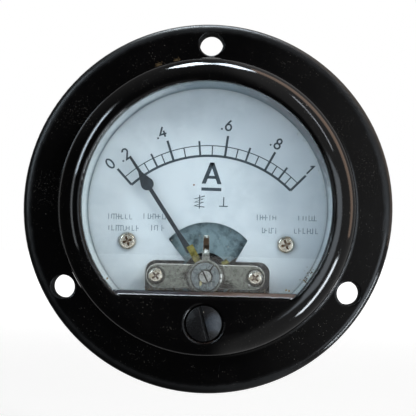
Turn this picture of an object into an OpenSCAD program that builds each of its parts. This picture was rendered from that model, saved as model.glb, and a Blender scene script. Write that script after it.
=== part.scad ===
// Round flanged panel ammeter with a moving-iron movement.
//
// Every module is drawn looking at the dial: X to the right, Y up, Z out of the panel towards
// the reader. face_frame() then stands the meter up, so that the dial faces -Y and +Z is up.
// The origin is the centre of the flange's back face, which lies on the panel.

/* [Flange] */
// Diameter of the flange
flange_d = 65; // [62:0.5:72]
// Thickness of the flange
flange_t = 3.6; // [3:0.1:4.5]
// Radius of the flange's front edge
flange_edge_r = 1.1; // [0.4:0.1:1.5]
// Distance of a mounting hole from the flange's edge, to its middle
hole_inset = 3.7; // [3:0.1:4.2]
// Diameter of a mounting hole
panel_hole_d = 4.1; // [3.2:0.1:4.3]

/* [Bezel] */
// Height of the bezel's front above the panel
bezel_h = 12; // [11.8:0.1:14]
// Width of the flange around the bezel
flange_w = 6.8; // [6.4:0.1:8]
// Draft of the bezel's side, on the radius
bezel_draft = 0.2; // [0:0.05:0.4]
// Radius of the bezel's rounded shoulder
shoulder_r = 3.8; // [3:0.1:4]
// Radius of the fillet between the bezel and the flange
bezel_fillet_r = 0.5; // [0.2:0.1:0.8]
// Thickness of the lip in front of the glass
lip_t = 1.5; // [1.2:0.1:2]
// Width of the lip in front of the glass
lip_w = 1.55; // [1.3:0.05:2]
// Height that the straight edge cuts off the round window, at the front
window_cut_h = 5.95; // [5.8:0.05:6.2]
// Rise of that edge from the front to the glass
window_slope = 0.75; // [0.2:0.05:1]
// Radius of the window's two corners
window_corner_r = 2.2; // [1:0.1:3]
// Radius of the window's front edge
window_edge_r = 0.5; // [0.2:0.1:0.6]
// Thickness of the mask below the window
mask_t = 2.7; // [2.4:0.1:3]
// Wall of the bezel behind the glass
bezel_wall = 2.5; // [2.3:0.1:2.8]

/* [Glass and shroud] */
// Thickness of the glass
glass_t = 1.7; // [1.2:0.1:2]
// Step between the bore and the glass's seat, on the radius
glass_step = 0.6; // [0.4:0.1:0.8]
// Overlap of the glass behind the window's straight edge
glass_overlap = 0.8; // [0.5:0.1:1]
// Clearance around the glass, on the radius
glass_gap = 0.2; // [0.1:0.05:0.4]
// Set-back of the shroud behind the window's edge, at the glass
shroud_setback = 0.25; // [0:0.05:0.5]
// Taper of the shroud from the glass to the dial, on the radius
shroud_taper = 0.4; // [0:0.05:0.8]
// Gap between the shroud and the dial
shroud_gap = 0.3; // [0.2:0.05:0.4]
// Distance of the shroud's two ends above the window's straight edge
shroud_end_gap = 0.1; // [0:0.1:1]

/* [Zero adjuster] */
// Distance of the adjusting screw below the window's straight edge
adjuster_below = 4.5; // [4.3:0.1:4.7]
// Radius of the screw's head
adjuster_head_r = 2.95; // [2.6:0.05:3]
// Gap between the head and its recess
adjuster_head_gap = 0.35; // [0.2:0.05:0.4]
// Depth of the recess
adjuster_recess = 1.1; // [0.8:0.1:1.2]
// Height of the head's edge above the mask
adjuster_edge_h = -0.2; // [-0.3:0.05:0]
// Height of the dome on the head
adjuster_dome_h = 0.35; // [0.2:0.05:0.5]
// Width of the screw's slot
adjuster_slot_w = 0.55; // [0.4:0.05:0.8]
// Depth of the slot below the head's edge
adjuster_slot_depth = 0.5; // [0.3:0.05:0.6]
// Lean of the slot to the left
adjuster_slot_lean = 15.5; // [0:0.5:30]
// Radius of the screw's shank
adjuster_shank_r = 1.4; // [1.2:0.05:1.6]
// Running clearance of the shank in the mask, on the radius
shank_gap = 0.05; // [0.02:0.01:0.1]
// Play of the screw between its head and its clip, on each side of the mask
adjuster_play = 0.05; // [0.03:0.01:0.1]
// Length of the shank beyond the clip
shank_tail = 0.25; // [0.2:0.05:0.3]
// Radius of the eccentric pin
crank_pin_r = 0.45; // [0.35:0.05:0.5]
// Offset of the eccentric pin from the screw's axis
crank_offset = 0.8; // [0.6:0.05:0.9]
// Length of the pin behind the lever
pin_reach = 0.4; // [0.3:0.05:0.5]
// Gap on each side of the pin in the lever's fork
fork_gap = 0.05; // [0.04:0.01:0.1]
// Thickness of the retaining clip
clip_t = 0.45; // [0.3:0.05:0.6]
// Radius of the retaining clip
clip_r = 2.4; // [2.1:0.1:2.6]
// Width of the clip's mouth
clip_mouth_w = 1.7; // [1.5:0.1:1.9]

/* [Dial] */
// Gap between the dial plate and the bezel's bore, on the radius
dial_gap = 0.7; // [0.3:0.1:1.2]
// Thickness of the dial plate
dial_t = 0.6; // [0.4:0.05:0.8]
// Depth of the dial's face behind the glass
dial_depth = 5.8; // [5.6:0.1:6]
// Reach of the dial plate below the window's straight edge
dial_reach = 1; // [0.8:0.05:1.1]
// Distance of each dial screw from the centre line
dial_screw_x = 13.85; // [13.5:0.05:14.5]
// Height of the dial screws above the pivot
dial_screw_h = 5.8; // [5.4:0.05:6]
// Offset of the dial's two cut-outs to the right of the pivot
cutout_offset = 0.25; // [0:0.05:0.3]
// Radius of the fan-shaped cut-out
fan_r = 9.4; // [9.3:0.05:9.6]
// Half width of the fan at its foot
fan_foot_x = 4.4; // [4:0.1:4.8]
// Half width of the fan at its shoulders
fan_shoulder_x = 6.85; // [6.5:0.05:7.1]
// Further offset of the fan's foot to the right
fan_foot_offset = 0.45; // [0:0.05:0.6]
// Height of the fan's foot above the pivot
fan_foot_h = 2.55; // [2.4:0.05:2.6]
// Height of the fan's shoulders above the pivot
fan_shoulder_h = 6.15; // [5.9:0.05:6.3]
// Half width of the notch for the bridge
notch_x = 10.87; // [10.7:0.01:11.2]
// Height of the notch's top above the pivot
notch_h = 2.6; // [2.6:0.05:2.8]
// Radius of the notch's corners
notch_corner_r = 1.9; // [1.5:0.1:2.2]

/* [Bridge and jewels] */
// Height of the pivot above the window's straight edge
pivot_h = 3.15; // [3:0.05:3.3]
// Length of the bridge
bridge_l = 20.3; // [20:0.1:20.8]
// Width of the bridge
bridge_w = 4.1; // [4:0.05:4.4]
// Thickness of the bridge
bridge_t = 0.8; // [0.6:0.05:0.9]
// Radius of the bridge's corners
bridge_corner_r = 1.9; // [1.5:0.1:2]
// Height of the bridge's back above the dial
bridge_lift = 2.7; // [2.6:0.05:2.8]
// Height of the round land under the lever
land_h = 0.3; // [0.2:0.05:0.35]
// Radius of that land
land_r = 3.1; // [2.9:0.05:3.2]
// Distance of each bridge screw from the pivot
bridge_screw_x = 8.5; // [8.3:0.05:8.7]
// Radius of a bridge screw's head
bridge_head_r = 1.3; // [1.2:0.05:1.6]
// Outer radius of the jewel bush
bush_r = 1.25; // [1.2:0.05:1.3]
// Radius of a jewel screw
jewel_r = 1; // [0.9:0.02:1.04]
// Gap between a jewel screw and its thread
thread_gap = 0.05; // [0.02:0.01:0.06]
// Width of the bush's flange
bush_flange_w = 0.45; // [0.3:0.05:0.5]
// Thickness of the bush's flange
bush_flange_t = 0.2; // [0.15:0.01:0.25]
// Length of the front jewel screw
front_jewel_l = 2.4; // [2.3:0.05:2.6]
// Reach of the front jewel screw behind the bridge
front_jewel_reach = 0.1; // [0:0.05:0.2]
// Length of the rear jewel screw
rear_jewel_l = 3.6; // [3.4:0.1:3.8]
// Reach of the rear jewel screw into the bobbin
rear_jewel_reach = 0.4; // [0.2:0.05:0.6]
// Width of a jewel screw's slot
jewel_slot_w = 0.3; // [0.2:0.05:0.4]
// Depth of a jewel screw's slot
jewel_slot_depth = 0.4; // [0.3:0.05:0.5]
// Lean of a jewel screw's slot to the left
jewel_slot_lean = 25; // [0:1:90]
// Radius of the cup in a jewel
cup_r = 0.45; // [0.4:0.01:0.5]
// Radius of the cup's bottom
cup_end_r = 0.05; // [0.04:0.01:0.08]
// Depth of the cup in a jewel
cup_depth = 0.5; // [0.4:0.05:0.6]
// End play of the spindle in its two cups, at each end
end_play = 0.1; // [0.05:0.01:0.15]

/* [Zero lever] */
// Radius of the lever's disc
lever_r = 2.9; // [2.6:0.05:3]
// Thickness of the lever
lever_t = 0.4; // [0.3:0.05:0.45]
// Gap between the lever and what it slides on
lever_gap = 0.05; // [0.03:0.01:0.08]
// Width of the lever's tail at the disc
tail_w = 1.25; // [1.1:0.05:1.5]
// Width of the tail at its tip
tail_tip_w = 1; // [0.8:0.05:1.1]
// Distance from the pivot to the first bend of the tail
tail_bend_r = 3.7; // [3.6:0.05:3.8]
// Length of the slope between the tail's two bends
tail_slope = 1.6; // [1.4:0.05:1.8]
// Distance from the pivot to the end of the tail
tail_end_r = 7.1; // [6.6:0.05:7.3]
// Width of a tine of the lever's fork
tine_w = 0.7; // [0.5:0.05:0.9]
// Depth of the fork on each side of the pin
fork_reach = 0.3; // [0.2:0.05:0.4]
// Radius of the split washer
washer_r = 2.38; // [2.2:0.02:2.5]
// Thickness of the split washer
washer_t = 0.25; // [0.2:0.01:0.3]
// Width of the slit in the washer
washer_slit = 0.3; // [0.2:0.05:0.4]

/* [Pointer] */
// Angle of the pointer at rest, to the left of upright
pointer_rest = 33.8; // [20:0.1:41]
// Distance of the upright pointer's tip from the window's top
pointer_end_gap = 8.4; // [8:0.1:10]
// Thickness of the pointer
pointer_t = 0.3; // [0.2:0.05:0.35]
// Height of the pointer's back above the dial
pointer_lift = 1.2; // [1:0.05:1.25]
// Width of the pointer's foot
foot_w = 1.25; // [1:0.05:1.4]
// Distance from the pivot to the end of the foot's taper
foot_end_r = 9; // [8:0.1:10]
// Width of the pointer's arm
arm_w = 0.7; // [0.5:0.02:0.9]
// Distance from the pointer's tip to the middle of the spade
spade_inset = 5.6; // [4.6:0.1:6.6]
// Width of the spade
spade_w = 2.25; // [1.8:0.05:2.6]
// Length of the spade's point
spade_point = 2.6; // [2:0.1:3]
// Width of the pointer's tip
tip_w = 0.42; // [0.3:0.02:0.6]

/* [Moving system] */
// Radius of the spindle
spindle_r = 0.4; // [0.35:0.01:0.45]
// Length of the spindle's two points
tip_l = 0.6; // [0.5:0.05:0.7]
// Radius of a point at its base
tip_base_r = 0.3; // [0.25:0.01:0.34]
// Radius of a point at its end
tip_end_r = 0.05; // [0.03:0.01:0.06]
// Clearance of what is fixed on the spindle
hub_gap = 0.02; // [0.01:0.01:0.03]
// Radius of the hubs of the vane and the moving iron
hub_r = 0.9; // [0.8:0.05:1]
// Thickness of the brass carrier
carrier_t = 0.3; // [0.25:0.01:0.32]
// Radius of the carrier's hub
carrier_hub_r = 1.1; // [1:0.05:1.15]
// Width of the carrier's arm
carrier_w = 1.2; // [1.1:0.05:1.5]
// Length of the carrier's arm, from the pivot
carrier_l = 6; // [5.6:0.1:6.4]
// Turn of the carrier's arm towards upright, from the pointer
carrier_turn = 4.5; // [0:0.5:6]
// Width of the two balance arms
balance_w = 0.6; // [0.5:0.05:0.8]
// Length of the two balance arms, from the pivot
balance_l = 4.7; // [4.3:0.1:5]
// Radius of a balance weight
weight_r = 0.65; // [0.5:0.05:0.7]
// Length of a balance weight
weight_l = 1.1; // [0.8:0.1:1.3]
// Distance of a balance weight from its arm's end
weight_inset = 0.1; // [0:0.05:0.3]
// Radius of the spring collet
collet_r = 0.85; // [0.75:0.05:0.9]
// Turns of the hairspring
spring_turns = 4.5; // [3.5:1:5.5]
// Radius of the hairspring's first turn
spring_inner_r = 1; // [0.95:0.05:1.1]
// Radius of the hairspring's last turn
spring_outer_r = 3.4; // [3:0.1:3.5]
// Thickness of the hairspring's ribbon
spring_t = 0.12; // [0.08:0.02:0.16]
// Width of the hairspring's ribbon
spring_w = 0.35; // [0.25:0.05:0.35]
// Gap between the carrier and the hairspring
spring_gap = 0.15; // [0.1:0.01:0.2]

/* [Damping chamber] */
// Depth of the chamber, without its cover
chamber_depth = 4.3; // [4:0.1:4.4]
// Thickness of the chamber's wall
chamber_wall = 0.6; // [0.5:0.05:0.7]
// Outer radius of the chamber
chamber_r = 10.2; // [9.9:0.1:10.4]
// Half angle of the chamber
chamber_half_angle = 58.5; // [58:0.5:60]
// Thickness of the chamber's cover
cover_t = 0.5; // [0.4:0.05:0.6]
// Radius of the hole in the cover
cover_hole_r = 4.1; // [3.9:0.05:4.2]
// Width of the cover round its hole
cover_rim_w = 0.5; // [0.4:0.05:0.6]
// Radius of the spindle's hole in the chamber and the plate
spindle_hole_r = 1.3; // [1.1:0.1:1.5]
// Thickness of the damping vane
vane_t = 0.25; // [0.2:0.01:0.3]
// Clearance of the vane inside the chamber
vane_gap = 0.4; // [0.3:0.05:0.5]

/* [Movement plate and posts] */
// Depth of the movement plate behind the dial's back
plate_depth = 6; // [5.8:0.1:6.4]
// Thickness of the movement plate
plate_t = 1.2; // [1:0.1:1.4]
// Width of the plate's upper arm
plate_arm_w = 36; // [35:0.5:36.5]
// Height of the plate's upper edge above the dial screws
plate_top_h = 8.75; // [8.65:0.05:9.2]
// Reach of the plate's upper arm below the dial screws
plate_arm_reach = 2.6; // [2:0.1:2.8]
// Width of the plate's lower part
plate_foot_w = 23; // [22:0.5:23]
// Drop of the plate's lower edge below the pivot
plate_foot_drop = 3; // [2.6:0.1:3.1]
// Radius of the plate's corners
plate_corner_r = 2; // [1.5:0.1:2.2]
// Radius of a dial post
dial_post_r = 1.5; // [1.3:0.05:1.6]
// Radius of a bridge post
bridge_post_r = 1.55; // [1.4:0.05:1.6]
// Radius of a small screw's thread
small_screw_r = 0.7; // [0.6:0.02:0.74]
// Radius of a small screw's head
small_head_r = 1.5; // [1.4:0.05:1.6]
// Height of a small screw's head
small_head_h = 0.85; // [0.7:0.05:0.9]
// Length of a small screw's thread
small_screw_l = 3.2; // [2.5:0.1:3.4]
// Clearance of a small screw in a plain hole, on the radius
screw_gap = 0.1; // [0.05:0.05:0.15]
// Depth of a blind thread beyond its screw
thread_end = 0.3; // [0.2:0.1:0.5]
// Length of a plate screw's thread
plate_screw_l = 6; // [5:0.5:7]
// Radius of a plate screw's head
plate_head_r = 2.3; // [2:0.1:2.4]
// Height of a plate screw's head
plate_head_h = 1.5; // [1.2:0.1:1.6]

/* [Coil and irons] */
// Radius of the bobbin's flanges
bobbin_r = 8.6; // [8.2:0.1:8.8]
// Thickness of a bobbin flange
bobbin_flange_t = 1; // [0.8:0.1:1.2]
// Length of the bobbin
bobbin_l = 11.8; // [11.4:0.1:12]
// Radius of the bobbin's bore
bobbin_bore_r = 4; // [3.9:0.05:4.1]
// Wall of the bobbin's barrel
bobbin_wall = 0.7; // [0.6:0.05:0.8]
// Depth of the winding below the flange's edge
winding_inset = 0.5; // [0.3:0.1:0.8]
// Gap round the winding and between the bobbin and the fixed iron
coil_gap = 0.05; // [0.03:0.01:0.08]
// Thickness of the two irons
iron_t = 0.35; // [0.3:0.01:0.4]
// Length of the moving iron
moving_iron_l = 8; // [7:0.1:8.4]
// Outer radius of the moving iron
moving_iron_r = 3.2; // [3:0.05:3.25]
// Angle that the moving iron covers
moving_iron_angle = 60; // [50:1:70]
// Angle that the fixed iron covers
fixed_iron_angle = 110; // [90:1:120]
// Length of the fixed iron at its narrow side
fixed_iron_end_l = 2; // [1:0.1:3]
// Width of the moving iron's two spokes
spoke_w = 1; // [0.8:0.1:1.2]
// Width of the rear bracket
bracket_w = 6; // [5:0.1:7]
// Thickness of the rear bracket
bracket_t = 1; // [0.8:0.05:1.1]
// Gap between the bracket's legs and the bobbin
bracket_gap = 0.6; // [0.4:0.1:0.8]
// Outer radius of the bracket's two bends
bracket_bend_r = 1.5; // [1.3:0.1:2]
// Width of the rear jewel's nut across its flats
jewel_nut_af = 4; // [3.5:0.1:4.5]
// Height of the rear jewel's nut
jewel_nut_h = 1.1; // [0.9:0.1:1.4]

/* [Rear case] */
// Inset of the rear case behind the bezel's side
case_inset = 0.1; // [0:0.05:0.4]
// Depth of the rear case behind the panel
case_depth = 28; // [27:0.5:34]
// Wall of the rear case
case_wall = 2; // [1.8:0.1:2.1]
// Floor of the rear case
case_floor = 3; // [2.6:0.1:3.2]
// Radius of the case's back edge
case_edge_r = 1.2; // [0.6:0.1:1.6]
// Depth of the recess that takes the case's rim
case_seat = 0.6; // [0.4:0.1:0.8]
// Step of the case's rim, where it enters that recess
rim_step = 0.3; // [0.2:0.1:0.5]
// Clearance around the case in that recess, on the radius
case_gap = 0.2; // [0.1:0.05:0.3]
// Gap between the case's spigot and the dial's back
spigot_gap = 0.8; // [0.6:0.1:1]
// Wall of the spigot
spigot_wall = 0.7; // [0.5:0.1:0.9]
// Height of the shoulder that carries the spigot
spigot_root = 2; // [1.5:0.1:2.5]
// Radius of a screw boss on the front cover
boss_r = 2.1; // [2:0.05:2.15]
// Gap between that boss and the case's column
boss_gap = 0.2; // [0.1:0.05:0.3]
// Radius of a column for a case screw
column_r = 2.9; // [2.8:0.05:3]
// Radius of that column's neck
neck_r = 1.9; // [1.8:0.05:2]
// Distance of each case screw from the centre line
case_screw_x = 11.5; // [11:0.1:11.8]
// Distance of the case screws inside the bezel's bore
case_screw_inset = 1.4; // [1.3:0.05:1.5]
// Radius of a case screw's thread
case_screw_r = 1.2; // [1.1:0.05:1.25]
// Radius of a case screw's head
case_head_r = 2.5; // [2.3:0.1:2.6]
// Height of a case screw's head
case_head_h = 1.6; // [1.4:0.1:1.8]
// Depth of a case screw's head below the case's back
case_head_inset = 0.2; // [0.1:0.1:0.5]
// Clearance of a case screw and its head, on the radius
case_screw_gap = 0.3; // [0.2:0.05:0.35]
// Length of a case screw's hole in the cover beyond the screw
case_hole_end = 1; // [0.5:0.1:1.2]
// Depth of the thread in the mask's back that stays solid
mask_skin = 1; // [0.8:0.1:1.5]
// Distance of each plate post from the centre line
plate_post_x = 15.5; // [15:0.1:15.6]
// Radius of a plate post
plate_post_r = 2.4; // [2.2:0.1:2.5]

/* [Terminals] */
// Radius of a terminal stud
stud_r = 2; // [1.9:0.1:2.1]
// Distance of each stud from the centre line
stud_x = 11; // [10.5:0.1:12]
// Height of the studs above the axis
stud_h = 10; // [9.5:0.1:11]
// Length of a stud behind the case
stud_l = 14; // [13.5:0.5:18]
// Clearance of a stud in its hole, on the radius
stud_gap = 0.1; // [0.05:0.05:0.2]
// Radius of a stud's round head
stud_head_r = 3.4; // [3.2:0.1:3.6]
// Height of a stud's head
stud_head_h = 2.2; // [2:0.1:2.6]
// Width of a terminal nut across its flats
nut_af = 7; // [6.5:0.1:7.2]
// Height of a terminal nut
nut_h = 3.2; // [2.8:0.1:3.4]
// Distance of a nut's bearing face from its flats
nut_bevel = 0.2; // [0.1:0.05:0.3]
// Angle of the bevel on a nut's corners
nut_bevel_angle = 30; // [15:5:35]
// Radius of a terminal washer
terminal_washer_r = 4.4; // [4.2:0.1:4.6]
// Thickness of a terminal washer
terminal_washer_t = 0.8; // [0.6:0.1:1]
// Thickness of a solder lug
lug_t = 0.5; // [0.4:0.05:0.6]
// Length of a lug's tag beyond the stud's head
tag_l = 2.2; // [2:0.1:3]
// Width of a lug's tag
tag_w = 2; // [1.6:0.1:2.4]
// Radius of a coil lead
lead_r = 0.4; // [0.3:0.05:0.5]
// Gap between a lead and what it is soldered to
solder_gap = 0.05; // [0.02:0.01:0.1]
// Angle from upright at which a lead leaves the winding
lead_angle = 35; // [30:1:40]
// Distance behind the plate at which it leaves
lead_start = 3; // [2.5:0.1:4]
// Slack of a lead at its two ends
lead_slack = 9; // [7:0.5:10]

/* [Hidden] */
$fn = 64;

// A margin by which a cut passes the face that it opens, and a width that passes everything.
over = 1;
wide = 2 * flange_d;

// The front from the flange's edge inwards, and the heights on the dial.
panel_hole_r = flange_d / 2 - hole_inset;
bezel_d = flange_d - 2 * flange_w;
bezel_bore_d = bezel_d - 2 * bezel_wall;
glass_seat_d = bezel_bore_d - 2 * glass_step;
window_r = glass_seat_d / 2 - lip_w;
shroud_front_r = window_r + shroud_setback;
shroud_back_r = shroud_front_r - shroud_taper;
dial_r = bezel_bore_d / 2 - dial_gap;
window_drop = window_r - window_cut_h;
glass_drop = window_drop + glass_overlap;
shroud_drop = window_drop - shroud_end_gap;
dial_drop = window_drop + dial_reach;
adjuster_drop = window_drop + adjuster_below;
pivot_drop = window_drop - pivot_h;
dial_screw_drop = pivot_drop - dial_screw_h;
pointer_l = window_r + pivot_drop - pointer_end_gap;
spade_r = pointer_l - spade_inset;

// Heights above the panel, from the back of the dial to the front of the glass.
glass_front_z = bezel_h - lip_t;
glass_back_z = glass_front_z - glass_t;
mask_back_z = bezel_h - mask_t;
dial_face_z = glass_back_z - dial_depth;
dial_back_z = dial_face_z - dial_t;
pointer_z = dial_face_z + pointer_lift;
carrier_z = pointer_z + pointer_t;
spring_z = carrier_z + carrier_t + spring_gap;
bridge_z = dial_face_z + bridge_lift;
bridge_front_z = bridge_z + bridge_t;
lever_z = bridge_front_z + land_h + lever_gap;
washer_z = lever_z + lever_t + lever_gap;
bush_front_z = washer_z + washer_t + lever_gap;
front_jewel_z = bridge_z - front_jewel_reach;

// Heights behind the dial.
plate_front_z = dial_back_z - plate_depth;
plate_back_z = plate_front_z - plate_t;
chamber_front_z = plate_front_z + chamber_depth;
plate_screw_end_z = plate_front_z - plate_screw_l;
bobbin_back_z = plate_back_z - bobbin_l;
bracket_back_z = bobbin_back_z - bracket_t;
rear_jewel_z = bobbin_back_z + rear_jewel_reach;

// Tips of the spindle.
tip_front_z = front_jewel_z + cup_depth - end_play;
tip_back_z = rear_jewel_z - cup_depth + end_play;

// Bezel, shroud and case.
window_half_w = sqrt(pow(window_r, 2) - pow(window_drop, 2));
corner_x = sqrt(pow(window_r - window_corner_r, 2) - pow(window_drop - window_corner_r, 2));
corner_y = window_corner_r - window_drop;
corner_angle = atan2(corner_y, corner_x);
shroud_r = glass_seat_d / 2 - glass_gap;
case_rim_z = case_seat;
case_back_z = -case_depth;
case_floor_z = case_back_z + case_floor;
case_d = bezel_d - 2 * case_inset;
case_inner_r = case_d / 2 - case_wall;
spigot_r = bezel_bore_d / 2 - case_gap;
case_screw_drop = sqrt(pow(bezel_bore_d / 2 - case_screw_inset, 2) - pow(case_screw_x, 2));
column_top_z = dial_back_z - spigot_gap;
boss_z = column_top_z + boss_gap;
case_head_z = case_back_z + case_head_inset + case_head_h;
case_hole_end_z = mask_back_z - mask_skin;

// Zero adjuster and lever.
crank_l = adjuster_drop - pivot_drop;
recess_floor_z = bezel_h - adjuster_recess;
head_edge_z = bezel_h + adjuster_edge_h;
head_back_z = recess_floor_z + adjuster_play;
clip_z = mask_back_z - adjuster_play - clip_t;
shank_end_z = clip_z - shank_tail;
dome_r = (pow(adjuster_head_r, 2) + pow(adjuster_dome_h, 2)) / (2 * adjuster_dome_h);

// The 2-D outlines and small solids that several pieces share.

module face_frame() rotate([90, 0, 0]) children();

module at_pivot() translate([0, -pivot_drop, 0]) children();

// Slab between two heights, with the children as its outline.
module slab(z0, z1) translate([0, 0, z0]) linear_extrude(height = z1 - z0) children();

// Round bar between two heights.
module bar(r, z0, z1) translate([0, 0, z0]) cylinder(r = r, h = z1 - z0);

// Copies at both sides of the centre line.
module both_sides(x, y = 0) for (side = [-1, 1]) translate([side * x, y, 0]) children();

// The part of the plane above a height y.
module above(y) translate([-wide / 2, y]) square(wide);

// The part of the plane below a height y.
module below(y) translate([-wide / 2, y - wide]) square(wide);

module rounded_rect(w, h, r) {
    square([w - 2 * r, h], center = true);
    square([w, h - 2 * r], center = true);
    for (sx = [-1, 1], sy = [-1, 1])
        translate([sx * (w / 2 - r), sy * (h / 2 - r)]) circle(r);
}

// Sector of a circle between two angles from upright, positive to the right.
module sector(r, left, right) {
    reach = 4 * r;
    middle = (left + right) / 2;
    intersection() {
        circle(r);
        polygon([
            [0, 0],
            reach * [sin(left), cos(left)],
            reach * [sin(middle), cos(middle)],
            reach * [sin(right), cos(right)]
        ]);
    }
}

// Section of a disc whose front edge is rounded.
module round_edge_section(r, h, edge) {
    square([r - edge, h]);
    square([r, h - edge]);
    translate([r - edge, h - edge]) circle(edge);
}

// Pan head with a cross recess, standing on z = 0.
module pan_head(r, h, slot) {
    difference() {
        rotate_extrude() intersection() {
            round_edge_section(r, h, h * 0.55);
            square([r, h]);
        }
        for (turn = [0, 90]) rotate([0, 0, turn])
            translate([-r * 0.55, -slot / 2, h * 0.4]) cube([r * 1.1, slot, h]);
    }
}

module pan_screw(r, l, head_r, head_h) {
    pan_head(head_r, head_h, head_r * 0.24);
    bar(r, -l, head_h / 4);
}

// Front cover: flange, bezel, lip and mask in one black moulding.

module cover_section() {
    round_edge_section(flange_d / 2, flange_t, flange_edge_r);
    side_r = bezel_d / 2 - bezel_draft;
    shoulder_z = bezel_h - shoulder_r;
    polygon([
        [0, 0], [bezel_d / 2, 0], [bezel_d / 2, flange_t], [side_r, shoulder_z],
        [side_r - shoulder_r, bezel_h], [0, bezel_h]
    ]);
    translate([side_r - shoulder_r, shoulder_z]) circle(shoulder_r);
    translate([bezel_d / 2, flange_t]) difference() {
        translate([-over, -over]) square(bezel_fillet_r + over);
        translate([bezel_fillet_r, bezel_fillet_r]) circle(bezel_fillet_r);
    }
}

module window_outline() {
    difference() {
        intersection() {
            circle(window_r);
            above(-window_drop);
        }
        for (side = [-1, 1]) difference() {
            polygon([
                [side * corner_x, corner_y],
                [side * corner_x, -window_drop - over],
                [side * (window_half_w + over), -window_drop - over],
                window_r / (window_r - window_corner_r) * 1.05 * [side * corner_x, corner_y]
            ]);
            translate([side * corner_x, corner_y]) circle(window_corner_r);
        }
    }
}

// Section of the rounded front edge, drawn from the wall of the window outwards.
module edge_section(wall) {
    difference() {
        translate([wall - 0.01, -window_edge_r]) square([window_edge_r + 0.01, window_edge_r + over]);
        translate([wall + window_edge_r, -window_edge_r]) circle(window_edge_r);
    }
}

// What the rounded front edge takes off all round the window.
module window_edge_cut() {
    translate([0, 0, bezel_h]) {
        rotate([0, 0, corner_angle]) rotate_extrude(angle = 180 - 2 * corner_angle)
            edge_section(window_r);
        for (side = [0, 1]) mirror([side, 0, 0]) translate([corner_x, corner_y, 0])
            rotate([0, 0, -90]) rotate_extrude(angle = 90 + corner_angle)
                edge_section(window_corner_r);
        translate([-corner_x, -window_drop, 0]) rotate([90, 0, 90])
            linear_extrude(height = 2 * corner_x) mirror([1, 0]) edge_section(0);
    }
}

module window_cut() {
    intersection() {
        slab(glass_front_z - over, bezel_h + over) window_outline();
        // The straight edge slopes up towards the glass.
        translate([-wide / 2, 0, 0]) rotate([90, 0, 90]) linear_extrude(height = wide) polygon([
            [-window_drop, bezel_h],
            [-window_drop, bezel_h + 2 * over],
            [2 * window_r, bezel_h + 2 * over],
            [2 * window_r, glass_front_z - 2 * over],
            [-window_drop + window_slope, glass_front_z - 2 * over],
            [-window_drop + window_slope, glass_front_z]
        ]);
    }
    window_edge_cut();
}

module cover_hollow() {
    difference() {
        union() {
            bar(case_d / 2 + case_gap, -over, case_seat);
            bar(bezel_bore_d / 2, -over, glass_back_z - glass_gap);
            bar(glass_seat_d / 2, -over, glass_front_z);
        }
        slab(mask_back_z, glass_front_z + over) intersection() {
            circle(bezel_bore_d / 2 + over);
            below(-glass_drop - glass_gap);
        }
        both_sides(case_screw_x, -case_screw_drop) bar(boss_r, boss_z, bezel_h);
    }
}

module front_cover() {
    color("#141416") face_frame() difference() {
        rotate_extrude($fn = 128) intersection() {
            cover_section();
            square([flange_d, 2 * bezel_h]);
        }
        cover_hollow();
        window_cut();
        for (turn = [0, 120, 240]) rotate([0, 0, turn])
            translate([0, panel_hole_r, 0]) bar(panel_hole_d / 2, -over, flange_t + over);
        translate([0, -adjuster_drop, 0]) {
            bar(adjuster_head_r + adjuster_head_gap, recess_floor_z, bezel_h + over);
            bar(adjuster_shank_r + shank_gap, mask_back_z - over, bezel_h);
        }
        both_sides(case_screw_x, -case_screw_drop)
            bar(case_screw_r + thread_gap, boss_z - over, case_hole_end_z);
    }
}

module window_glass() {
    color("#dfeaea", 0.3) face_frame() slab(glass_back_z, glass_front_z) intersection() {
        circle(glass_seat_d / 2 - glass_gap);
        above(-glass_drop);
    }
}

// Pale ring that holds the glass forward and closes the gap round the dial.
module glass_shroud() {
    shroud_z = dial_face_z + shroud_gap;
    color("#e9efe9") face_frame() intersection() {
        rotate_extrude($fn = 128) polygon([
            [shroud_back_r, shroud_z], [shroud_r, shroud_z],
            [shroud_r, glass_back_z], [shroud_front_r, glass_back_z]
        ]);
        slab(shroud_z - over, glass_back_z + over) above(-shroud_drop);
    }
}

// Zero adjuster: slotted screw, clip, forked lever and its washer.

// Section of the domed head.
module head_section() {
    intersection() {
        translate([0, head_back_z]) square([adjuster_head_r, bezel_h]);
        translate([0, head_edge_z + adjuster_dome_h - dome_r]) circle(dome_r);
    }
}

module zero_screw() {
    color("#202124") face_frame() translate([0, -adjuster_drop, 0]) {
        difference() {
            rotate_extrude() head_section();
            rotate([0, 0, adjuster_slot_lean])
                translate([
                    -adjuster_slot_w / 2, -2 * adjuster_head_r, head_edge_z - adjuster_slot_depth
                ]) cube([adjuster_slot_w, 4 * adjuster_head_r, 2 * over]);
        }
        bar(adjuster_shank_r, shank_end_z, head_back_z);
        translate([0, crank_offset, 0]) bar(crank_pin_r, lever_z - pin_reach, shank_end_z);
    }
}

module zero_screw_clip() {
    color("#8d9093") face_frame() translate([0, -adjuster_drop, 0]) slab(clip_z, clip_z + clip_t)
        difference() {
            circle(clip_r);
            circle(adjuster_shank_r + hub_gap);
            translate([-clip_mouth_w / 2, -2 * clip_r]) square([clip_mouth_w, 2 * clip_r]);
        }
}

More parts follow.
